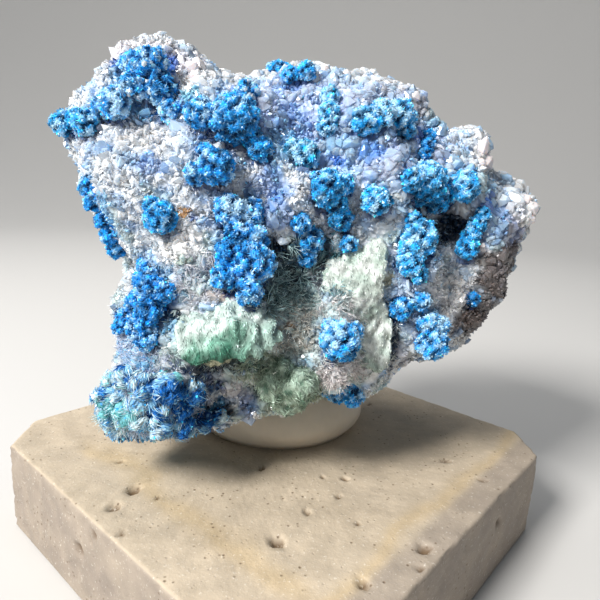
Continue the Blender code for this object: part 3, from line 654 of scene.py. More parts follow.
# Blue and green growths, as they sit on the rock: the side, then each ball's place and radius.
# A place is across and up on the front and back, depth and up on the left and right,
# across and depth on the top.
SHATTUCKITE = {
    "left_tip": ("front", [(-23.7, 47.2, 1.4), (-22.3, 47.6, 1.2), (-20.9, 47.1, 1.45)]),
    "crown": ("front", [
        (-19.0, 49.0, 1.2), (-17.5, 49.3, 1.7), (-16.2, 50.8, 1.5), (-17.0, 52.8, 1.2), (-15.2, 52.3, 2.3),
        (-13.6, 50.6, 1.7), (-12.4, 48.8, 1.3),
    ]),
    "saddle": ("front", [(-5.1, 50.9, 1.3)]),
    "big_ball": ("front", [
        (-6.5, 48.0, 2.6), (-9.0, 48.3, 1.7), (-4.6, 46.8, 1.4), (-3.4, 45.5, 1.4),
    ]),
    "shoulder": ("front", [(-7.5, 43.5, 1.9), (-9.1, 43.1, 1.2), (-8.6, 44.9, 1.0)]),
    "lone_left": ("front", [(-12.4, 39.0, 1.7), (-13.2, 40.1, 0.9)]),
    "left_rim": ("front", [
        (-20.6, 41.1, 1.0), (-19.8, 39.7, 1.1), (-18.9, 38.2, 1.1), (-18.4, 36.6, 1.15), (-18.1, 35.2, 1.15),
    ]),
    "top_ridge": ("front", [(0.6, 54.0, 1.1), (-1.0, 53.5, 1.0)]),
    "column": ("front", [(3.2, 51.2, 1.2), (3.4, 49.6, 1.3), (3.3, 48.2, 1.1)]),
    "right_top": ("front", [
        (6.8, 48.9, 1.6), (8.5, 49.6, 1.5), (10.2, 49.7, 1.8), (11.2, 48.4, 1.2),
    ]),
    "thread": ("front", [(13.9, 48.0, 1.0), (13.7, 47.1, 1.0), (13.5, 46.2, 0.9)]),
    "teal_ball": ("front", [(0.8, 45.3, 1.6), (-0.4, 45.8, 1.1)]),
    "middle": ("front", [
        (3.1, 42.1, 2.0), (5.0, 42.6, 1.1), (4.2, 41.0, 1.3), (4.7, 39.7, 1.4),
    ]),
    "lone_middle": ("front", [(8.5, 41.3, 1.6), (7.9, 42.3, 0.9)]),
    "big_right": ("front", [
        (13.0, 43.2, 2.4), (11.4, 43.4, 1.3), (15.2, 41.8, 1.5), (16.6, 42.6, 1.2), (17.9, 43.2, 1.8),
    ]),
    "fall": ("front", [
        (12.2, 39.5, 1.1), (12.6, 37.7, 2.1), (12.4, 36.4, 1.6), (12.3, 35.2, 1.5), (13.2, 34.2, 1.0),
    ]),
    "cave_rim": ("front", [(20.4, 40.4, 0.9), (20.1, 39.2, 1.1), (19.7, 37.9, 1.2), (19.3, 36.6, 1.4)]),
    "under_fall": ("front", [(11.9, 30.8, 1.4), (13.6, 31.5, 1.1)]),
    "low_right": ("front", [(14.6, 29.2, 1.4), (15.9, 28.6, 1.3), (15.4, 27.0, 1.8)]),
    "seed": ("front", [(20.4, 31.0, 0.9)]),
    "frosted_ball": ("front", [(5.3, 27.6, 2.1), (6.6, 28.5, 1.0), (4.4, 28.9, 0.9)]),
    "lower_lip": ("front", [(4.9, 21.0, 1.1), (6.1, 20.8, 1.3), (7.5, 21.0, 1.4)]),
    "centre": ("front", [
        (-6.1, 39.9, 1.6), (-4.3, 39.5, 1.6), (-5.2, 37.9, 1.7), (-3.6, 37.0, 1.6), (-5.7, 35.6, 1.6),
        (-3.7, 34.7, 2.2), (-5.6, 33.7, 1.5), (-3.7, 32.4, 1.5),
    ]),
    "valley": ("front", [(0.8, 39.0, 1.1), (1.6, 37.3, 1.5), (1.5, 35.4, 1.1)]),
    "valley_seed": ("front", [(5.8, 36.9, 1.0)]),
    "left_chain": ("front", [
        (-14.4, 34.0, 1.2), (-13.7, 33.0, 1.4), (-13.4, 32.4, 1.5), (-13.0, 31.7, 1.6), (-11.6, 31.6, 1.3),
        (-14.2, 30.4, 1.3), (-12.9, 29.9, 1.5), (-13.5, 28.5, 1.5), (-12.9, 27.4, 1.3),
    ]),
    "left_wall": ("front", [(-16.9, 27.0, 1.0), (-16.8, 28.2, 0.9)]),
    "foot": ("front", [
        (-17.3, 20.8, 1.3), (-16.3, 22.3, 1.35), (-14.5, 23.7, 1.4), (-12.8, 23.8, 1.5), (-10.9, 23.4, 1.75),
        (-9.0, 22.5, 1.45), (-15.3, 21.2, 1.3), (-13.3, 21.8, 1.3), (-11.4, 21.7, 1.3), (-9.8, 20.9, 1.2),
        (-16.5, 19.6, 1.25), (-14.7, 20.0, 1.45), (-13.2, 20.2, 1.35), (-11.5, 19.6, 1.45),
        (-9.9, 19.0, 1.45), (-8.2, 18.5, 1.3), (-6.7, 18.5, 1.0),
    ]),
    "back_left": ("back", [(-12.0, 45.0, 2.2), (-14.0, 46.2, 1.6), (-11.0, 43.0, 1.4)]),
    "back_middle": ("back", [(2.0, 38.0, 2.3), (4.2, 39.2, 1.7), (0.2, 36.4, 1.5)]),
    "back_right": ("back", [(15.0, 44.0, 1.9), (16.8, 42.8, 1.5)]),
    "back_low": ("back", [(-9.0, 27.0, 2.0), (-7.0, 26.0, 1.5), (-10.4, 28.8, 1.3)]),
    "back_seed": ("back", [(11.0, 29.0, 1.7)]),
    "left_side": ("left", [(6.0, 43.0, 1.8), (7.6, 44.4, 1.3), (4.6, 41.4, 1.3)]),
    "top_side": ("top", [(-3.0, 9.0, 1.8), (-1.0, 10.2, 1.4)]),
    "right_side": ("right", [(8.0, 37.0, 1.7), (9.4, 38.4, 1.3)]),
}

# Fibrous green growths, built of lumps in the same way.
GREEN = {
    "malachite_ledge": ("front", [
        (-9.8, 26.2, 1.25), (-8.6, 26.8, 1.95), (-6.6, 27.4, 2.5), (-4.4, 28.1, 2.6), (-2.4, 28.6, 2.2),
        (-0.8, 28.9, 1.5),
    ]),
    "chrysocolla_rib": ("front", [
        (9.2, 38.0, 1.2), (8.8, 36.4, 1.5), (8.2, 34.8, 1.9), (7.3, 33.2, 2.2), (7.7, 31.4, 2.0),
        (9.3, 29.8, 1.3), (9.6, 28.2, 1.35), (9.7, 26.6, 1.45), (9.5, 25.0, 1.6), (8.9, 23.4, 1.6),
    ]),
    "chrysocolla_apron": ("front", [
        (0.7, 21.4, 2.2), (-0.8, 22.8, 1.8), (1.8, 23.4, 1.7), (-0.2, 24.4, 1.4),
    ]),
}
BALL_LIFT = 0.35
LEDGE_LIFT = -0.1

SEAT_POINTS, SEAT_FACES = rock_grid(160, 90, 1.15)
SEAT_NORMALS = corner_normals(SEAT_POINTS, SEAT_FACES)
SEAT_TREE = BVHTree.FromPolygons(SEAT_POINTS.tolist(), SEAT_FACES.tolist())


def seat(side, first, second):
    """Where a straight line from the given side meets the rock, and the rock's normal there, if it does."""
    far = 90.0
    lines = {
        "front": ((first, -far, second), (0.0, 1.0, 0.0)),
        "back": ((first, far, second), (0.0, -1.0, 0.0)),
        "left": ((-far, first, second), (1.0, 0.0, 0.0)),
        "right": ((far, first, second), (-1.0, 0.0, 0.0)),
        "top": ((first, second, far), (0.0, 0.0, -1.0)),
    }
    start, way = lines[side]
    spot, normal, _, _ = SEAT_TREE.ray_cast(Vector(start), Vector(way))
    return (np.array(spot), np.array(normal)) if spot else (None, None)


def seat_balls(side, balls, lift):
    """Centre, radius and rock normal of each ball of a growth."""
    rows = []
    for first, second, radius in balls:
        spot, normal = seat(side, first, second)
        rows.append(np.r_[spot + normal * radius * lift, radius, normal])
    return np.array(rows)


BLUE_SEATS = {name: seat_balls(side, balls, BALL_LIFT) for name, (side, balls) in SHATTUCKITE.items()}
GREEN_SEATS = {name: seat_balls(side, balls, LEDGE_LIFT) for name, (side, balls) in GREEN.items()}
BLUE_BALLS = np.concatenate(list(BLUE_SEATS.values()))[:, :4]
ALL_BALLS = np.concatenate([BLUE_BALLS] + [seats[:, :4] for seats in GREEN_SEATS.values()])


def stained_white(points):
    """Quartz white in drifts of pale blue and, lower down, mint, with small slate shadows."""
    tone = blend_tone(WHITE, PALE_BLUE, 0.6 * ramp(waves(points, 2.6, 37), 0.1, 1.0))
    low_down = ramp(-points[:, 2], -46.0, -36.0)
    tone = blend_tone(tone, MINT, 0.6 * low_down * ramp(waves(points, 3.4, 38), 0.4, 1.1))
    tone = blend_tone(tone, SLATE, 0.5 * ramp(waves(points, 0.9, 39), 0.5, 1.1))
    return tone


def stained_and_shaded(points):
    """The quartz ground with the face's stains and painted shade over it, and drifts of the same stains on
    the back.

    Each stain is an oval that fades at its edge, the edge wavered by short waves. The face's
    stains run over the rim by a wandering amount. Close round each blue ball the rock goes navy,
    most of all below it: painted shade under the ball.
    """
    tone = stained_white(points)
    ahead = face_share(points + np.outer(waves(points, 4.5, 40), (0.0, STAIN_WANDER, 0.0)))
    waver = 0.22 * waves(points, 2.2, 41) + 0.10 * waves(points, 0.8, 42)
    behind = 1.0 - ahead
    for size, seed, colour, low, strength in BACK_STAINS:
        tone = blend_tone(tone, colour, behind * strength * ramp(waves(points, size, seed), low, low + 0.5))
    for across, up, wide, tall, colour, strength in FACE_STAINS_AND_SHADE:
        far = np.hypot((points[:, 0] - across) / wide, (points[:, 2] - up) / tall) + waver
        tone = blend_tone(tone, colour, ahead * strength * (1.0 - ramp(far, 0.72, 1.18)))
    for *centre, radius in BLUE_BALLS:
        far = np.linalg.norm(points - centre + (0.0, 0.0, 0.35 * radius), axis=1) / radius + 0.4 * waver
        tone = blend_tone(tone, NAVY_SHADE, 0.85 * (1.0 - ramp(far, 0.85, 1.18)))
    return tone


def make_rock():
    """The rock's grid, raised along its normals by waves about 2.4, 1.1 and 0.5 mm long less a
    constant 0.12 mm, and painted with the stains of its ground, the painted shade of its hollows
    and a faint mottle."""
    points, faces = rock_grid(ROCK_AROUND, ROCK_RINGS, 1.25)
    normal = corner_normals(points, faces)
    fine = 0.16 * waves(points, 2.4, 47) + 0.10 * waves(points, 1.1, 48) + 0.05 * waves(points, 0.5, 49)
    points = points + normal * (fine - 0.12)[:, None]
    tone = stained_and_shaded(points) * (0.92 + 0.08 * np.clip(waves(points, 1.6, 50), -1.5, 1.5))[:, None]
    make_piece("quartz_rock", points, faces, rock_material(), tone, ["quartz_matrix"], smooth=True)


def rock_material():
    """Milky quartz and matrix: the painted tone, clouded, with a sugary relief of small cells."""
    material, tree, shader, place, _ = clouded_material(
        "milky_quartz", (1.4, 4.0), (0.72, 1.12), (0.25, 0.5), (0.5, 2.0))
    raise_bump(tree, shader, cells(tree, place, 0.55), 0.25)
    return material


make_rock()


# The druse: small quartz crystals that grew on the rock, water-clear to milky, sharp and
# sugary on the left, bigger, blunter and lilac at the upper right, where they stand along the edge.
DRUSE_FRONT = 9500
DRUSE_BACK = 2700
DRUSE_SUGAR = 11000
DRUSE_LOWEST = 17.0
DRUSE_SIZES = (0.13, 1.15)
TURN = 6.3
QUARTZ_IOR = 1.544
QUARTZ_GLOW = (0.7, 0.85, 1.0)
QUARTZ_GLOW_DEPTH = 0.9
# Crystals on the outline: across, up, radius, length, and the way each points.
NAMED_POINTS = [
    (2.6, 54.6, 0.75, 0.9, (0.0, -0.2, 1.0)), (5.2, 54.8, 0.8, 1.0, (0.1, -0.3, 1.0)),
    (12.6, 52.4, 0.8, 0.8, (0.4, -0.3, 1.0)), (20.6, 47.0, 0.75, 1.9, (0.15, -0.3, 1.0)),
    (21.3, 46.0, 1.1, 1.0, (0.6, -0.4, 0.6)), (20.2, 45.6, 0.9, 0.9, (0.2, -0.8, 0.5)),
    (27.0, 41.2, 1.0, 0.9, (1.0, -0.3, 0.5)), (26.3, 42.0, 0.9, 0.8, (0.5, -0.4, 1.0)),
    (26.9, 40.0, 0.8, 0.8, (1.0, -0.5, -0.2)), (-11.4, 53.6, 0.95, 1.0, (0.7, -0.4, 0.8)),
    (-11.0, 52.6, 0.8, 0.9, (0.9, -0.4, 0.3)),
]


def picked_faces(points, faces, count, rng, density=None):
    """Faces picked at random by their area and by a density at their middles, and every face's middle."""
    a, b, c = points[faces[:, 0]], points[faces[:, 1]], points[faces[:, 2]]
    middle = (a + b + c) / 3.0
    weight = np.linalg.norm(np.cross(b - a, c - a), axis=1)
    if density:
        weight = weight * density(middle)
    return rng.choice(len(faces), count, p=weight / weight.sum()), middle


def strew(count, rng, density):
    """Seeds strewn over the rock, as many as asked, each at a random place of a picked face."""
    picked, _ = picked_faces(SEAT_POINTS, SEAT_FACES, count, rng, density)
    first, second = rng.random(count), rng.random(count)
    over = first + second > 1.0
    first, second = np.where(over, 1.0 - first, first), np.where(over, 1.0 - second, second)
    share = np.stack([1.0 - first - second, first, second], axis=1)
    corners = SEAT_FACES[picked]
    places = np.einsum("ij,ijk->ik", share, SEAT_POINTS[corners])
    return places, unit(np.einsum("ij,ijk->ik", share, SEAT_NORMALS[corners]))


def clear_of_balls(places, margin):
    """True for each place that is outside every ball of the growths, the balls scaled by the margin."""
    far = np.full(len(places), 9.0)
    for *centre, radius in ALL_BALLS:
        far = np.minimum(far, np.linalg.norm(places - centre, axis=1) / radius)
    return far > margin


def set_out(shape, places, ways, widths, lengths, turns):
    """Copies of a small shape, each stretched, turned round its axis, stood along its way and moved."""
    points, faces = shape
    side = unit(np.cross(ways, np.where(np.abs(ways[:, 2:]) < 0.9, [[0.0, 0.0, 1.0]], [[1.0, 0.0, 0.0]])))
    other = np.cross(ways, side)
    first = np.cos(turns)[:, None] * side + np.sin(turns)[:, None] * other
    second = np.cross(ways, first)
    made = (points[None, :, 0:1] * (widths[:, 0:1] * first)[:, None, :]
            + points[None, :, 1:2] * (widths[:, 1:2] * second)[:, None, :]
            + points[None, :, 2:3] * (lengths[:, None] * ways)[:, None, :] + places[:, None, :])
    shift = np.arange(len(places))[:, None, None] * len(points)
    return made.reshape(-1, 3), (faces[None] + shift).reshape(-1, 3)


def turned_shape(sides, rings):
    """A small closed solid from rings of radius and height; the first and last rings close at poles."""
    turn = 2.0 * math.pi * np.arange(sides) / sides
    ring = np.stack([np.cos(turn), np.sin(turn), np.zeros(sides)], axis=1)
    points = [[(0.0, 0.0, rings[0][1])]]
    points += [ring * radius + (0.0, 0.0, height) for radius, height in rings[1:-1]]
    points = np.concatenate(points + [[(0.0, 0.0, rings[-1][1])]])
    return points, outward(points, skin_faces(len(rings) - 2, sides))


SHARP_CRYSTAL = turned_shape(6, [(0.0, -1.3), (1.0, 0.35), (0.0, 1.0)])
BLUNT_CRYSTAL = turned_shape(6, [(0.0, -1.1), (1.0, 0.15), (0.50, 0.74), (0.0, 1.0)])
GRAIN = turned_shape(4, [(0.0, -1.0), (1.0, 0.0), (0.0, 1.0)])


def fuse(*parts):
    """Several sets of points, faces and colours as one."""
    shift = np.cumsum([0] + [len(p[0]) for p in parts[:-1]])
    return (np.concatenate([p[0] for p in parts]), np.concatenate([p[1] + s for p, s in zip(parts, shift)]),
            np.concatenate([p[2] for p in parts]))


def grow_grains(shape, seats, normals, size, sway, wide, tall, rng):
    """Copies of a shape on their seats, each tipped from its normal by a random amount, with two
    widths and a length that are its size times a random number from each range."""
    count = len(seats)
    return set_out(shape, seats, unit(normals + sway * rng.normal(size=normals.shape)),
                   size[:, None] * rng.uniform(*wide, (count, 2)), size * rng.uniform(*tall, count),
                   rng.uniform(0.0, TURN, count))


def blunt_zone(points):
    """1 where the quartz grew in blunt lilac crystals: the upper right of the face and its edge."""
    return ramp(points[:, 0] * 0.6 + points[:, 2] + 1.2 * waves(points, 5.0, 61), 45.5, 50.0)


def make_druse():
    """Crystals on the face and the back, set a third of their length into the rock. Sharp ones are
    blades, clear or milky; blunt ones are bigger lumps. Each takes its tone from the ground."""
    rng = np.random.default_rng(62)
    front = strew(DRUSE_FRONT, rng, lambda p: face_share(p) * (1.0 - 0.3 * blunt_zone(p)) + 0.03)
    back = strew(DRUSE_BACK, rng, lambda p: (1.0 - face_share(p)) * ramp(p[:, 2], 18.5, 21.0) + 0.001)
    for name, (places, normals), big in (("front", front, 1.0), ("back", back, 1.5)):
        keep = clear_of_balls(places, 1.02) & (places[:, 2] > DRUSE_LOWEST)
        places, normals = places[keep], normals[keep]
        count = len(places)
        blunt = rng.random(count) < blunt_zone(places) * 0.85
        milky = rng.random(count) < 0.7
        tone = stained_and_shaded(places)
        growth = np.where(blunt, 1.85, 1.0) * np.where(tone.sum(axis=1) < 0.8, 0.65, 1.0)
        size = np.clip(big * rng.lognormal(-1.08, 0.36, count) * growth, *DRUSE_SIZES)
        thin = np.where(blunt, 0.8, rng.uniform(0.4, 0.8, count))
        widths = size[:, None] * np.stack([thin, rng.uniform(0.9, 1.5, count)], axis=1)
        lengths = size * rng.uniform(1.0, 1.8, count) * np.where(blunt, 0.72, 1.0)
        lengths *= 1.0 - 0.5 * ramp(places[:, 2], 56.0, 58.5)
        ways = unit(normals + 0.42 * rng.normal(size=normals.shape))
        turns = rng.uniform(0.0, TURN, count)
        shade = 1.0 + (np.where(blunt, 0.06, 0.15) * rng.uniform(-1.0, 1.0, count))[:, None]
        tint = np.clip(tone * shade, 0.0, 0.95)
        seats = places - normals * (0.12 * size + np.where(blunt, 0.28, 0.3) * lengths)[:, None]
        for kind, shape, chosen, material in (("clear", SHARP_CRYSTAL, ~blunt & ~milky, QUARTZ_CLEAR),
                                              ("milky", SHARP_CRYSTAL, ~blunt & milky, QUARTZ_MILKY),
                                              ("lumps", BLUNT_CRYSTAL, blunt, QUARTZ_LUMP)):
            points, faces = set_out(shape, *(part[chosen] for part in (seats, ways, widths, lengths, turns)))
            tones = np.repeat(tint[chosen], len(shape[0]), axis=0)
            make_piece("druse_" + name + "_" + kind, points, faces, material, tones)


def make_named_points():
    """The named crystals of the outline, each a blunt one at its place on the rock."""
    rows = np.array([(*seat("front", across, up)[0], *way, radius, length)
                     for across, up, radius, length, way in NAMED_POINTS])
    points, faces = set_out(BLUNT_CRYSTAL, rows[:, :3], unit(rows[:, 3:6]), rows[:, 6:7] * (1.0, 0.92),
                            rows[:, 7], np.arange(len(rows)) * 0.7)
    tone = np.broadcast_to(PINK_WHITE, points.shape)
    make_piece("edge_crystals", points, faces, QUARTZ_LUMP, tone)


def make_sugar():
    """Tiny frosted grains between the crystals, thickest on the white ground at the left."""
    rng = np.random.default_rng(63)
    places, normals = strew(DRUSE_SUGAR, rng, lambda p: face_share(p) * (1.0 - 0.45 * blunt_zone(p)) + 0.02)
    keep = clear_of_balls(places, 1.0) & (places[:, 2] > DRUSE_LOWEST)
    places, normals = places[keep], normals[keep]
    size = rng.uniform(0.14, 0.34, len(places))
    tone = np.clip(stained_and_shaded(places) * rng.uniform(0.85, 1.1, len(places))[:, None], 0.0, 0.95)
    seats = places - normals * 0.04
    points, faces = grow_grains(GRAIN, seats, normals, size, 0.8, (0.6, 1.1), (0.9, 1.6), rng)
    make_piece("quartz_sugar", points, faces, QUARTZ_SUGAR, np.repeat(tone, len(GRAIN[0]), axis=0))


def quartz_material(name, clearness, glow):
    """Quartz that light goes through, clear or milky: the painted tone as its body colour, faintly etched."""
    material, tree, shader, _, clouds = clouded_material(
        name, (0.8, 3.0), (0.92, 1.12), (0.06, 0.22), (0.18, 2.0), smooth_at=0.35)
    shader.inputs["IOR"].default_value = QUARTZ_IOR
    shader.inputs["Transmission Weight"].default_value = clearness
    let_light_sink(shader, glow, QUARTZ_GLOW, QUARTZ_GLOW_DEPTH)
    raise_bump(tree, shader, clouds["Grain"], 0.012)
    return material


def sugar_material():
    """Frosted quartz grains: nearly opaque, with bright faces."""
    material, tree, shader, _, clouds = clouded_material(
        "frosted_quartz", (0.5, 2.0), (0.9, 1.15), (0.12, 0.35), (0.12, 2.0))
    shader.inputs["IOR"].default_value = QUARTZ_IOR
    let_light_sink(shader, 0.45, QUARTZ_GLOW, QUARTZ_GLOW_DEPTH)
    raise_bump(tree, shader, clouds["Grain"], 0.01)
    return material


QUARTZ_CLEAR = quartz_material("clear_quartz", 0.5, 0.4)
QUARTZ_MILKY = quartz_material("milky_crystal", 0.1, 0.6)
QUARTZ_LUMP = quartz_material("lilac_lump", 0.2, 0.7)
QUARTZ_SUGAR = sugar_material()
make_druse()
make_named_points()
make_sugar()


# The shattuckite: blue balls of needles that radiate from a seed, grown into one another and
# onto the rock. Each ball is knobbly like a raspberry, navy with painted shade between its knobs
# and frosted on them, and its coat of short needles and crumbs lies down the knobs, each one
# navy at its foot as painted shade; the foot has long fans.
COAT_PER_MM2 = 14.0
NEEDLE_SHARE = 0.6
FOOT_NEEDLE_SHARE = 0.9
# The roots are navy painted shade, for the gaps between knobs and the feet of needles and crumbs.
BLUE_ROOT_SHADE = (0.001, 0.02, 0.10)
BLUE_BODY = (0.003, 0.26, 0.84)
BLUE_TIP = (0.10, 0.58, 0.96)
TEAL_ROOT_SHADE = (0.001, 0.03, 0.08)
TEAL_BODY = (0.006, 0.41, 0.80)
TEAL_TIP = (0.20, 0.68, 0.90)
FROST = (0.58, 0.80, 0.93)
SWIRL_TONE = (0.24, 0.55, 0.80, 1.0)
# Each growth's own coat: how teal it is, how much of it is frosted, and how much of it
# quartz has grown over. A growth that isn't named has the plain coat.
BLUE_COATS = {
    "left_tip": (0.6, 0.50, 0.5), "crown": (0.2, 0.42, 0.7), "saddle": (0.2, 0.35, 0.9),
    "big_ball": (0.35, 0.32, 0.0), "shoulder": (0.25, 0.36, 0.1), "lone_left": (0.45, 0.25, 0.0),
    "left_rim": (0.3, 0.20, 0.1), "top_ridge": (0.5, 0.35, 0.2), "column": (0.7, 0.48, 0.1),
    "right_top": (0.6, 0.38, 0.05), "thread": (0.3, 0.20, 0.3), "teal_ball": (0.9, 0.45, 0.0),
    "middle": (0.5, 0.28, 0.0), "lone_middle": (0.6, 0.26, 0.0), "big_right": (0.6, 0.28, 0.0),
    "fall": (0.6, 0.30, 0.1), "cave_rim": (0.6, 0.20, 0.0), "under_fall": (0.3, 0.25, 0.1),
    "low_right": (0.3, 0.40, 0.2), "seed": (0.2, 0.1, 0.0), "frosted_ball": (0.3, 0.48, 0.1),
    "lower_lip": (0.3, 0.50, 0.3), "centre": (0.2, 0.35, 0.0), "valley": (0.3, 0.30, 0.1),
    "left_chain": (0.1, 0.35, 0.5), "left_wall": (0.2, 0.25, 0.2), "foot": (0.2, 0.40, 0.0),
}
PLAIN_COAT = (0.4, 0.35, 0.15)
# Drifts over the blue of the face: across, up, reach, and how much paler (or, below 0, deeper) it is there.
BLUE_DRIFTS = [
    (-5.2, 40.5, 2.0, 1.1), (-14.7, 48.8, 2.0, 0.8), (-17.0, 48.7, 1.8, 0.5), (-12.9, 51.4, 2.0, -0.9),
    (-6.0, 46.3, 2.2, -1.0), (-8.1, 49.6, 1.9, 0.6), (-5.5, 36.9, 1.5, -1.1), (9.6, 50.6, 2.0, 0.8),
    (15.3, 30.0, 1.6, 0.8), (12.4, 38.4, 1.8, 0.5), (13.0, 44.6, 1.7, 0.6), (13.8, 41.6, 1.6, -1.0),
    (3.4, 51.0, 1.6, 0.7), (-8.4, 44.6, 1.4, 0.4), (-6.6, 42.4, 1.4, -0.6), (0.6, 45.6, 1.5, 0.5),
    (5.0, 28.6, 1.4, 0.6), (6.2, 26.4, 1.3, -0.6), (-2.8, 33.6, 1.6, 0.5), (-4.6, 32.2, 1.4, -0.5),
    (4.0, 40.4, 1.3, -0.8), (-13.2, 31.2, 1.6, -0.6), (17.8, 43.8, 1.3, 0.5), (7.8, 41.8, 1.1, 0.4),
]
# Needles of the foot's fans, from one drift to the next: teal, white, sky, ultramarine and navy,
# and the steps between them.
FAN_TONES = np.array([(0.18, 0.52, 0.53), (0.64, 0.78, 0.82), (0.26, 0.54, 0.76), (0.004, 0.14, 0.50),
                      (0.001, 0.03, 0.13)])
FAN_STEPS = (-0.9, 0.0, 0.35, 1.3)
# Runs of the foot: across, up, reach, and how far the fans there lean to white (below 0) or to navy.
FOOT_RUNS = [
    (-15.4, 21.6, 1.8, -0.7), (-16.2, 18.4, 2.2, -1.2), (-11.2, 22.6, 2.0, 1.1), (-13.2, 20.4, 1.4, -0.4),
    (-7.4, 19.6, 1.8, 1.5), (-8.6, 22.4, 1.6, 0.9), (-9.8, 17.8, 1.6, 0.4), (-17.4, 21.4, 1.0, 0.5),
]
NEEDLE = turned_shape(3, [(0.0, -0.15), (1.0, 0.0), (0.0, 1.0)])


def even_headings(count, rng):
    """Unit headings spaced evenly over a ball on a spiral, each a little out of line."""
    step = np.arange(count) + 0.5
    fall = np.arccos(1.0 - 2.0 * step / count)
    turn = math.pi * (1.0 + 5.0 ** 0.5) * step
    heading = np.stack([np.cos(turn) * np.sin(fall), np.sin(turn) * np.sin(fall), np.cos(fall)], axis=1)
    return unit(heading + rng.normal(size=(count, 3)) * 0.45 / math.sqrt(count))


def ball_grid(around, rings):
    """Unit headings on rings from the top pole to the bottom pole, in the order of skin_faces."""
    fall = math.pi * np.arange(1, rings + 1)[:, None] / (rings + 1.0)
    turn = 2.0 * math.pi * np.arange(around)[None] / around
    ring = np.sin(fall) * np.cos(turn), np.sin(fall) * np.sin(turn), np.cos(fall) + 0.0 * turn
    return np.concatenate([[(0.0, 0.0, 1.0)], np.stack(ring, axis=2).reshape(-1, 3), [(0.0, 0.0, -1.0)]])


def knobbly(heading, knobs, width):
    """For each heading, how high it stands on its nearest knob (0 in the gaps, 1 on top), and which knob."""
    near = heading @ knobs.T
    which = near.argmax(axis=1)
    apart = 2.0 * (1.0 - near.max(axis=1)) / width ** 2
    return np.sqrt(np.clip(1.0 - apart, 0.0, 1.0)), which


def drifted(points, drifts):
    """The sum of the named drifts at each point, each a bell over its reach."""
    total = np.zeros(len(points))
    for across, up, reach, strength in drifts:
        near = np.hypot(points[:, 0] - across, points[:, 2] - up) / reach
        total += strength * np.exp(-near ** 2)
    return total


def fan_tone(points, noise):
    """The tone of each needle of a fan, picked from teal and white to navy by long waves and the runs."""
    run = 0.8 * waves(points, 2.6, 74) - 0.15 + noise + drifted(points, FOOT_RUNS)
    return FAN_TONES[np.searchsorted(FAN_STEPS, run)]


def coat_tones(coat, places, high, noise, strength):
    """The root, middle and tip colour of each needle of a coat. The root is navy painted shade:
    low on a knob the needle is that navy, high on it the body's blue; where waves, drifts and
    height add up, it is frosted."""
    teal, frost, _ = coat
    root, body, tip = [blend_tone(blue, green, np.array([teal]))[0] for blue, green in
                       ((BLUE_ROOT_SHADE, TEAL_ROOT_SHADE), (BLUE_BODY, TEAL_BODY), (BLUE_TIP, TEAL_TIP))]
    drift = drifted(places, BLUE_DRIFTS) * face_share(places)
    patch = 0.8 * waves(places, 1.3, 72) + 2.4 * (high - 0.75) + 1.6 * drift + noise
    strength = (strength * (1.08 + 0.5 * np.clip(0.6 * waves(places, 1.9, 75) + drift, -1.2, 0.6)))[:, None]
    pale = ramp(patch, 0.75 - 2.2 * frost, 2.3 - 2.2 * frost)
    white = blend_tone(tip, FROST, 0.25 + 0.7 * pale)
    middle = blend_tone(blend_tone(root, body, ramp(high, 0.45, 0.9)) * strength, white, 0.85 * pale)
    return root, middle, blend_tone(blend_tone(root, tip, ramp(high, 0.45, 1.35)) * strength, white, pale)


def paint_rows(shape, foot, middle, end, palest=1.0):
    """A colour for each corner of each copy of a shape: foot first, end last, middle between."""
    rows = [np.broadcast_to(foot, middle.shape)] + [middle] * (len(shape[0]) - 2) + [end]
    return np.clip(np.stack(rows, axis=1).reshape(-1, 3), 0.0, palest)


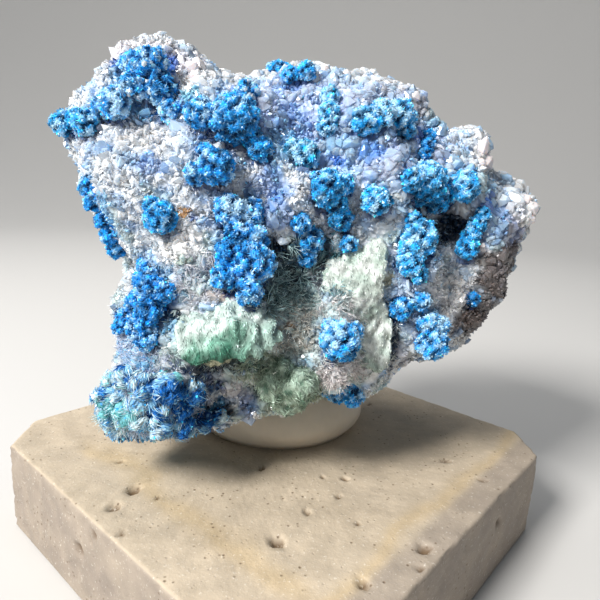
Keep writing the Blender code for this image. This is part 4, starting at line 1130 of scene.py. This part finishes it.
def make_shattuckite(name, seats):
    """One growth: a knobbly core for each ball, and its coat.

    A ball's surface is its radius less a share that closes up on the knobs, each knob a low
    round cap. Crumbs stand on that surface. Needles lie on it and run from the middle of
    their knob down its flank; on the foot, long waves comb them. A growth's coat leaves out
    what another of its balls hides. It gives back the places that quartz has grown over.
    """
    fanned = name == "foot"
    coat = BLUE_COATS.get(name, PLAIN_COAT)
    rng = np.random.default_rng(sum(("shattuckite_" + name).encode()))
    parts, grown_over = [], []
    for *centre, radius, nx, ny, nz in seats:
        knob_count = int(5 + 4 * radius ** 2) if fanned else int(6 + 7 * radius ** 2)
        knobs = even_headings(knob_count, rng)
        width = 2.3 / math.sqrt(knob_count)
        relief = 0.95 * width

        def surface(heading):
            high, which = knobbly(heading, knobs, width)
            swell = 1.0 + 0.07 * waves(centre + heading * radius, 1.7, 71)
            return radius * (swell * (0.97 - relief + relief * high)), high, which

        around, rings = int(14 + 10 * radius), int(8 + 6 * radius)
        heading = ball_grid(around, rings)
        reach, high, which = surface(heading)
        skin = centre + heading * reach[:, None]
        root, ground, _ = coat_tones(coat, skin, high, 0.0, 1.0)
        if fanned:
            ground = fan_tone(centre + knobs[which] * radius, 0.0)
        # The core goes to the root's navy in the gaps between knobs: painted shade.
        tone = np.clip(blend_tone(root, ground, 0.15 + 0.8 * high), 0.0, 1.0)
        parts.append((skin, outward(heading, skin_faces(rings, around)), tone))

        heading = even_headings(int(12.566 * radius ** 2 * COAT_PER_MM2), rng)
        heading = heading[heading @ (nx, ny, nz) > -0.45]
        reach, high, which = surface(heading)
        spots = centre + heading * reach[:, None]
        hidden = (high < 0.4) & (rng.random(len(high)) < 0.7)
        for *other, size, _, _, _ in seats:
            if other != centre:
                hidden |= np.linalg.norm(spots - other, axis=1) < size * 0.84
        spots, heading, high, knob = spots[~hidden], heading[~hidden], high[~hidden], knobs[which[~hidden]]
        number = len(spots)
        splay = unit(spots - centre - knob * radius * (0.97 - 1.3 * relief))
        ways = unit(heading * 0.35 + splay * 0.65 + rng.normal(size=heading.shape) * 0.22)
        down = -knob + (0.10 if fanned else 0.2) * rng.normal(size=heading.shape)
        if fanned:
            down += 1.2 * np.stack([waves(spots, 4.0, seed) for seed in (76, 77, 78)], axis=1)
        down = unit(down - splay * np.einsum("ij,ij->i", down, splay)[:, None])
        down = unit(down + splay * rng.uniform(0.0, 0.3 if fanned else 0.6, number)[:, None])
        laid = rng.random(number) < (FOOT_NEEDLE_SHARE if fanned else NEEDLE_SHARE)
        _, middles, ends = coat_tones(coat, spots, high, 0.75 * rng.normal(size=number),
                                      rng.lognormal(-0.06, 0.45, number))
        over = (waves(spots, 2.4, 73) > 1.3 - 2.0 * coat[2]) & (rng.random(number) < 0.35 * coat[2] ** 3)
        grown_over.append(np.concatenate([spots[over], heading[over]], axis=1))
        turns = rng.uniform(0.0, TURN, number)

        size = rng.uniform(0.10, 0.19, number)[~laid]
        widths = size[:, None] * rng.uniform(0.7, 1.2, (len(size), 2))
        lengths = size * rng.uniform(0.5, 0.7, len(size)) * (0.9 + 1.2 * high[~laid])
        crumbs = set_out(GRAIN, spots[~laid], ways[~laid], widths, lengths, turns[~laid])
        parts.append((*crumbs, paint_rows(GRAIN, root, middles[~laid], ends[~laid])))

        number = laid.sum()
        shortest, longest, widest = (0.5, 0.95, 0.065) if fanned else (0.24, 0.46, 0.08)
        starts = spots[laid] - down[laid] * 0.3 * shortest + splay[laid] * 0.03
        needles = set_out(NEEDLE, starts, down[laid], rng.uniform(0.035, widest, (number, 2)),
                          rng.uniform(shortest, longest, number), turns[laid])
        tones = root, middles[laid], ends[laid]
        if fanned:
            streak = fan_tone(centre + knob[laid] * radius, 0.45 * rng.normal(size=number))
            streak = streak * rng.uniform(0.75, 1.15, (number, 1))
            # A fan needle is darkest at its foot, painted shade, and a little paler at its tip.
            tones = streak * 0.4, streak * 0.85, streak * 1.1
        parts.append((*needles, paint_rows(NEEDLE, *tones)))
    points, faces, tone = fuse(*parts)
    make_piece("blue_" + name, points, faces, BLUE_CRYSTAL, tone, ["shattuckite_" + name])
    return np.concatenate(grown_over)


def make_overgrowth(spots, heading):
    """Small milky quartz crystals that grew over the blue here and there."""
    rng = np.random.default_rng(77)
    size = rng.uniform(0.14, 0.32, len(spots))
    seats = spots - heading * 0.10
    points, faces = grow_grains(SHARP_CRYSTAL, seats, heading, size, 0.4, (0.75, 1.1), (0.9, 1.5), rng)
    tone = np.repeat(blend_tone(VEILED, WHITE, rng.random(len(spots)) ** 1.5), len(SHARP_CRYSTAL[0]), axis=0)
    make_piece("druse_over_blue", points, faces, QUARTZ_MILKY, tone)


def shattuckite_material():
    """Silky blue needles: the painted tone, clouded, pale fibres that swirl over it, and a satin shine."""
    material, tree, shader, place, clouds = clouded_material(
        "blue_needles", (0.45, 3.0), (0.6, 1.45), (0.5, 0.75), (0.1, 2.0))
    swirl = sum_up(tree, "ABSOLUTE", sum_up(tree, "SUBTRACT", noise(tree, place, 1.0 / (0.6 * MM), 2.0), 0.5))
    colour = mix_tones(tree, fit_range(tree, swirl, 0.0, 0.05, 0.35, 0.0), clouds["Colour"], SWIRL_TONE)
    tree.links.new(colour, shader.inputs["Base Color"])
    shader.inputs["Specular IOR Level"].default_value = 0.18
    raise_bump(tree, shader, clouds["Grain"], 0.02)
    return material


BLUE_CRYSTAL = shattuckite_material()
grown_over = np.concatenate([make_shattuckite(name, seats) for name, seats in BLUE_SEATS.items()])
make_overgrowth(grown_over[:, :3], grown_over[:, 3:])


# The blue crust: thin drifts of the same blue crumbs over the rock between the balls,
# where the stain is strong.
CRUST_SEEDS = 9000


def make_crust():
    """Crumbs strewn over the rock and kept where its stain is blue."""
    rng = np.random.default_rng(81)
    places, normals = strew(CRUST_SEEDS, rng, lambda p: face_share(p) + 0.12)
    tone = stained_and_shaded(places)
    blue = ramp(tone[:, 2] - tone[:, 0], 0.22, 0.48)
    keep = (rng.random(CRUST_SEEDS) < blue) & clear_of_balls(places, 0.9)
    places, normals, tone = places[keep], normals[keep], tone[keep]
    count = len(places)
    tone = tone * rng.lognormal(0.0, 0.5, count)[:, None]
    ends = np.where(rng.random(count)[:, None] < 0.35, blend_tone(BLUE_TIP, FROST, rng.random(count)), tone)
    size = rng.uniform(0.12, 0.24, count)
    seats = places + normals * 0.1
    points, faces = grow_grains(GRAIN, seats, normals, size, 0.45, (0.7, 1.2), (1.2, 2.2), rng)
    # Each crumb's foot is navy painted shade; its middle is the stain at 0.6.
    tone = paint_rows(GRAIN, BLUE_ROOT_SHADE, 0.6 * tone, ends)
    make_piece("blue_crust", points, faces, BLUE_CRYSTAL, tone)


make_crust()


# The green growths: a ledge of fibrous green over the lower left, white on top and green
# beneath, the lower green deepened and the underside darkened as painted shade, a pale rib with a
# sharp right edge that runs down the right, and a mottled apron below the middle. All are mats of
# fine fibres grown on the rock.
RIDGE_ALONG = 180
RIDGE_AROUND = 72
APRON_AROUND = 48
APRON_RINGS = 28
LEDGE_PROFILE = [(1.70, -0.80), (1.45, -0.20), (1.05, 0.28), (0.55, 0.66), (0.02, 0.92), (-0.36, 1.06),
                 (-0.52, 0.98), (-0.50, 0.66), (-0.64, 0.10), (-0.80, -0.7), (0.4, -1.0)]
RIB_PROFILE = [(-2.0, -0.85), (-1.65, -0.20), (-1.05, 0.20), (-0.4, 0.48), (0.2, 0.74), (0.58, 0.93),
               (0.74, 0.86), (0.70, 0.40), (0.72, -0.7), (-0.4, -1.0)]
LEDGE_TOP = (0.54, 0.66, 0.62)
LEDGE_MINT = (0.17, 0.38, 0.29)
# Deep green: the ledge's green, deepened as painted shade low on its front.
LEDGE_GREEN_IN_SHADE = (0.03, 0.13, 0.085)
LEDGE_LIP = (0.46, 0.47, 0.34)
# Near black: painted shade under the ledge and where the rib turns under.
UNDERSIDE_SHADE = (0.01, 0.03, 0.04)
RIB_PALE = (0.43, 0.53, 0.47)
RIB_WHITE = (0.64, 0.68, 0.65)


def softened(values, count, softness):
    """Values at even steps, read at more steps and smoothed by a bell as wide as the softness."""
    old = np.linspace(0.0, 1.0, len(values))
    fine = np.linspace(0.0, 1.0, 400)
    spread = np.stack([np.interp(fine, old, column) for column in np.asarray(values).T], axis=1)
    step = np.linspace(0.0, 1.0, count)
    bell = np.exp(-0.5 * ((step[:, None] - fine[None]) / softness) ** 2)
    return (bell / bell.sum(axis=1)[:, None]) @ spread


def ridge(seats, profile):
    """A profile carried along the balls' centres: its first number goes across the path, its second
    outward from the rock, both scaled by the ball's radius there; both ends draw in to a point.
    With the points and triangles comes how far round the profile each point stands, from 0 to 1."""
    line = softened(seats[:, :4], RIDGE_ALONG, 0.045)
    outward_way = unit(softened(seats[:, 4:7], RIDGE_ALONG, 0.12))
    centre, radius = line[:, :3], line[:, 3]
    step = np.linspace(0.0, 1.0, RIDGE_ALONG)
    ends = np.sqrt(np.clip(1.0 - np.abs(2.0 * step - 1.0) ** 6, 0.02, 1.0))
    across = unit(np.cross(outward_way, unit(np.gradient(centre, axis=0))))
    closed = np.concatenate([profile, profile[:1]])
    length = np.r_[0.0, np.cumsum(np.hypot(*np.diff(closed, axis=0).T))]
    walked = np.linspace(0.0, length[-1], RIDGE_AROUND, endpoint=False)
    section = np.stack([np.interp(walked, length, side) for side in closed.T], axis=1)
    size = (radius * ends)[:, None, None]
    points = centre[:, None] + size * (section[None, :, :1] * across[:, None]
                                       + section[None, :, 1:] * outward_way[:, None])
    points = np.concatenate([centre[:1], points.reshape(-1, 3), centre[-1:]])
    faces = outward(points - points.mean(axis=0), skin_faces(RIDGE_ALONG, RIDGE_AROUND))
    place = np.r_[0.0, np.tile(walked / length[-1], RIDGE_ALONG), 0.0]
    return points, faces, place


def fibre_mat(points, faces, count, rng, lay, colours, length, lift, scatter=0.55):
    """Fine fibres on a skin: laid along a given way with some scatter, and lifted off it a little."""
    picked, middle = picked_faces(points, faces, count, rng)
    spots = middle[picked] + rng.normal(size=(count, 3)) * 0.04
    up = corner_normals(points, faces)[faces[picked, 0]]
    way = lay + rng.normal(size=(count, 3)) * scatter
    way = unit(way - np.einsum("ij,ij->i", way, up)[:, None] * up)
    way = unit(way + up * rng.uniform(0.0, lift, count)[:, None])
    made, corners = set_out(NEEDLE, spots, way, np.ones((count, 2)) * rng.uniform(0.035, 0.08, (count, 1)),
                            rng.uniform(0.5, 1.0, count) * length, rng.uniform(0.0, TURN, count))
    ground = colours[faces[picked, 0]]
    # Each fibre is darkened to half at its foot and brightened toward its tip: painted shade and painted
    # light.
    lit = ground * rng.lognormal(0.05, 0.35, count)[:, None]
    return made, corners, paint_rows(NEEDLE, ground * 0.5, lit, np.clip(lit * 1.25, 0.0, 0.95))


def make_ledge():
    """The ledge's ridge with a waved and streaked skin: white on top, mint to green down its front
    where it runs left, the lower green deepened as painted shade, a cream lip, and painted shade
    below; laid fibres cover it."""
    rng = np.random.default_rng(91)
    points, faces, place = ridge(GREEN_SEATS["malachite_ledge"], LEDGE_PROFILE)
    normal = corner_normals(points, faces)
    streaks = waves(points * (1.0, 0.35, 0.5), 0.9, 92)
    points = points + normal * (0.26 * waves(points, 1.9, 93) + 0.10 * streaks)[:, None]
    left = 1.0 - ramp(points[:, 0], -5.0, -1.8)
    minty = ramp(place + 0.06 * waves(points, 2.2, 90), 0.20, 0.34) * (0.4 + 0.6 * left)
    # The lower front's green is deepened and the underside darkened: painted shade.
    deep = ramp(place + 0.03 * waves(points, 1.6, 94), 0.31, 0.38) * (0.15 + 0.85 * left)
    tone = blend_tone(LEDGE_TOP, LEDGE_MINT, minty)
    tone = blend_tone(tone, LEDGE_GREEN_IN_SHADE, deep)
    tone = blend_tone(tone, LEDGE_LIP, ramp(place + 0.006 * streaks, 0.445, 0.462))
    tone = blend_tone(tone, UNDERSIDE_SHADE, ramp(place, 0.50, 0.53))
    tone = tone * (0.85 + 0.2 * streaks)[:, None]
    hairs = fibre_mat(points, faces, 4200, rng, np.array((0.25, -0.5, -0.9)), tone, 0.4, 0.2, 0.4)
    points, faces, tone = fuse((points, faces, np.clip(tone, 0.0, 1.0)), hairs)
    make_piece("green_ledge", points, faces, FIBROUS, tone, ["malachite_ledge"])


def make_rib():
    """The rib's ridge with a fine streaked skin, pale all over, with painted shade where it turns under."""
    rng = np.random.default_rng(95)
    points, faces, place = ridge(GREEN_SEATS["chrysocolla_rib"], RIB_PROFILE)
    normal = corner_normals(points, faces)
    streaks = waves(points * (1.0, 0.6, 0.5), 0.8, 96)
    points = points + normal * (0.14 * waves(points, 1.4, 97) + 0.07 * streaks)[:, None]
    tone = blend_tone(RIB_PALE, RIB_WHITE, 0.5 + 0.4 * waves(points, 2.2, 98))
    # Painted shade where the rib turns under.
    tone = blend_tone(tone, UNDERSIDE_SHADE, ramp(place, 0.565, 0.59))
    tone = tone * (0.9 + 0.18 * streaks)[:, None]
    hairs = fibre_mat(points, faces, 4200, rng, np.array((0.25, -0.3, -0.9)), tone, 0.4, 0.10, 0.35)
    points, faces, tone = fuse((points, faces, np.clip(tone, 0.0, 1.0)), hairs)
    make_piece("pale_rib", points, faces, FIBROUS, tone, ["chrysocolla_rib"])


def make_apron():
    """Four low lumps grown together, each a ball with waved relief, under a mat of fibres."""
    rng = np.random.default_rng(99)
    parts = []
    for *centre, radius, _, _, _ in GREEN_SEATS["chrysocolla_apron"]:
        heading = ball_grid(APRON_AROUND, APRON_RINGS)
        spots = centre + heading * radius
        spots += heading * (0.14 * waves(spots, 1.6, 100) + 0.07 * waves(spots, 0.7, 101))[:, None]
        mottle = waves(spots, 1.3, 102)
        tone = blend_tone(OLIVE, MOSS, ramp(mottle, 0.4, 1.2))
        tone = blend_tone(tone, SAGE, ramp(-mottle, -0.2, 0.7) * 0.7)
        faces = outward(heading, skin_faces(APRON_RINGS, APRON_AROUND))
        parts.append((spots, faces, tone))
        parts.append(fibre_mat(spots, faces, 900, rng, np.array((0.3, -0.3, -0.7)), tone, 0.8, 0.4))
    points, faces, tone = fuse(*parts)
    tone = np.clip(tone, 0.0, 1.0)
    make_piece("green_apron", points, faces, FIBROUS, tone, ["chrysocolla_apron"])


def fibrous_material():
    """Matted fibres: the painted tone, finely clouded, dull with a faint silk."""
    material, tree, shader, _, clouds = clouded_material(
        "matted_fibres", (0.5, 4.0), (0.72, 1.25), (0.45, 0.7), (0.15, 3.0))
    raise_bump(tree, shader, clouds["Grain"], 0.04)
    return material


FIBROUS = fibrous_material()
make_ledge()
make_rib()
make_apron()


# The loose fibres: tufts of hair-fine needles that grew from the rock in sprays, white over
# the dark hollow in the middle, their roots there near black as painted shade, blue and white at
# the foot, sage round the green growths.
# Each field: across, up, half width, half height, tufts, needle length, root and tip colours, lift.
TUFT_FIELDS = [
    (0.2, 33.2, 3.6, 3.6, 60, 1.7, (0.004, 0.03, 0.05), (0.36, 0.52, 0.52), 0.6),
    (3.2, 36.0, 2.2, 2.4, 18, 1.3, (0.004, 0.04, 0.08), (0.20, 0.40, 0.50), 0.6),
    (5.0, 34.6, 1.4, 3.0, 24, 1.3, (0.004, 0.05, 0.08), (0.14, 0.34, 0.38), 0.5),
    (-14.0, 25.2, 4.0, 2.2, 170, 1.0, (0.02, 0.10, 0.42), (0.80, 0.86, 0.92), 0.15),
    (-8.4, 33.4, 2.4, 2.6, 60, 1.2, (0.40, 0.42, 0.50), (0.85, 0.85, 0.90), 0.6),
    (-15.0, 27.0, 2.6, 5.0, 90, 1.2, (0.10, 0.22, 0.50), (0.80, 0.84, 0.90), 0.6),
    (-13.0, 20.6, 5.6, 3.2, 170, 1.3, (0.04, 0.14, 0.50), (0.80, 0.87, 0.92), 0.7),
    (-16.4, 19.0, 1.8, 1.6, 36, 1.4, (0.05, 0.30, 0.42), (0.70, 0.88, 0.86), 0.6),
    (-2.0, 24.8, 2.2, 1.8, 50, 1.2, (0.10, 0.20, 0.14), (0.55, 0.62, 0.50), 0.5),
    (0.6, 28.6, 2.6, 2.4, 70, 1.1, (0.20, 0.18, 0.15), (0.70, 0.68, 0.62), 0.6),
    (5.6, 30.2, 2.6, 1.6, 46, 1.1, (0.45, 0.42, 0.42), (0.86, 0.82, 0.82), 0.7),
    (5.8, 24.2, 2.8, 1.6, 56, 1.1, (0.50, 0.45, 0.45), (0.86, 0.80, 0.80), 0.6),
    (2.2, 21.2, 3.4, 2.8, 90, 1.1, (0.20, 0.26, 0.16), (0.56, 0.62, 0.46), 0.5),
    (16.6, 32.0, 3.2, 2.6, 50, 0.9, (0.50, 0.52, 0.60), (0.88, 0.88, 0.92), 0.5),
    (-12.4, 43.0, 8.0, 6.0, 300, 0.8, (0.12, 0.24, 0.45), (0.72, 0.78, 0.86), 0.25),
    (-4.0, 29.0, 9.0, 7.0, 260, 0.8, (0.20, 0.34, 0.36), (0.66, 0.78, 0.76), 0.4),
    (6.0, 27.0, 6.0, 7.0, 200, 0.8, (0.26, 0.34, 0.34), (0.72, 0.76, 0.74), 0.4),
    (-15.5, 33.0, 4.0, 6.0, 130, 0.8, (0.16, 0.32, 0.50), (0.72, 0.82, 0.88), 0.4),
    (13.0, 35.0, 6.0, 6.0, 120, 0.7, (0.10, 0.25, 0.48), (0.55, 0.72, 0.84), 0.4),
]
TUFT_NEEDLES = 11


def make_tufts():
    """Each tuft is a spray of needles from one point of the rock, splayed from its normal."""
    rng = np.random.default_rng(111)
    parts = []
    for across, up, wide, tall, tufts, length, root, tip, lift in TUFT_FIELDS:
        reach = np.sqrt(rng.random(tufts))
        turn = rng.uniform(0.0, 2.0 * math.pi, tufts)
        for first, second in zip(across + wide * reach * np.cos(turn), up + tall * reach * np.sin(turn)):
            spot, normal = seat("front", first, second)
            if spot is None:
                continue
            splay = rng.normal(size=(1, 3))
            splay = unit(splay - (splay @ normal) * normal)
            ways = normal * lift + splay * rng.uniform(0.2, 1.0) + rng.normal(size=(TUFT_NEEDLES, 3)) * 0.38
            strength = rng.lognormal(0.0, 0.3, (TUFT_NEEDLES, 1))
            made, corners = set_out(NEEDLE, np.tile(spot - normal * 0.1, (TUFT_NEEDLES, 1)), unit(ways),
                                    np.ones((TUFT_NEEDLES, 2)) * rng.uniform(0.035, 0.07, (TUFT_NEEDLES, 1)),
                                    length * rng.uniform(0.6, 1.2, TUFT_NEEDLES),
                                    rng.uniform(0.0, TURN, TUFT_NEEDLES))
            middle = (0.6 * np.array(root) + 0.4 * np.array(tip)) * strength
            parts.append((made, corners, paint_rows(NEEDLE, root, middle, np.array(tip) * strength, 0.95)))
    points, faces, tone = fuse(*parts)
    make_piece("loose_fibres", points, faces, FIBROUS, tone)


make_tufts()
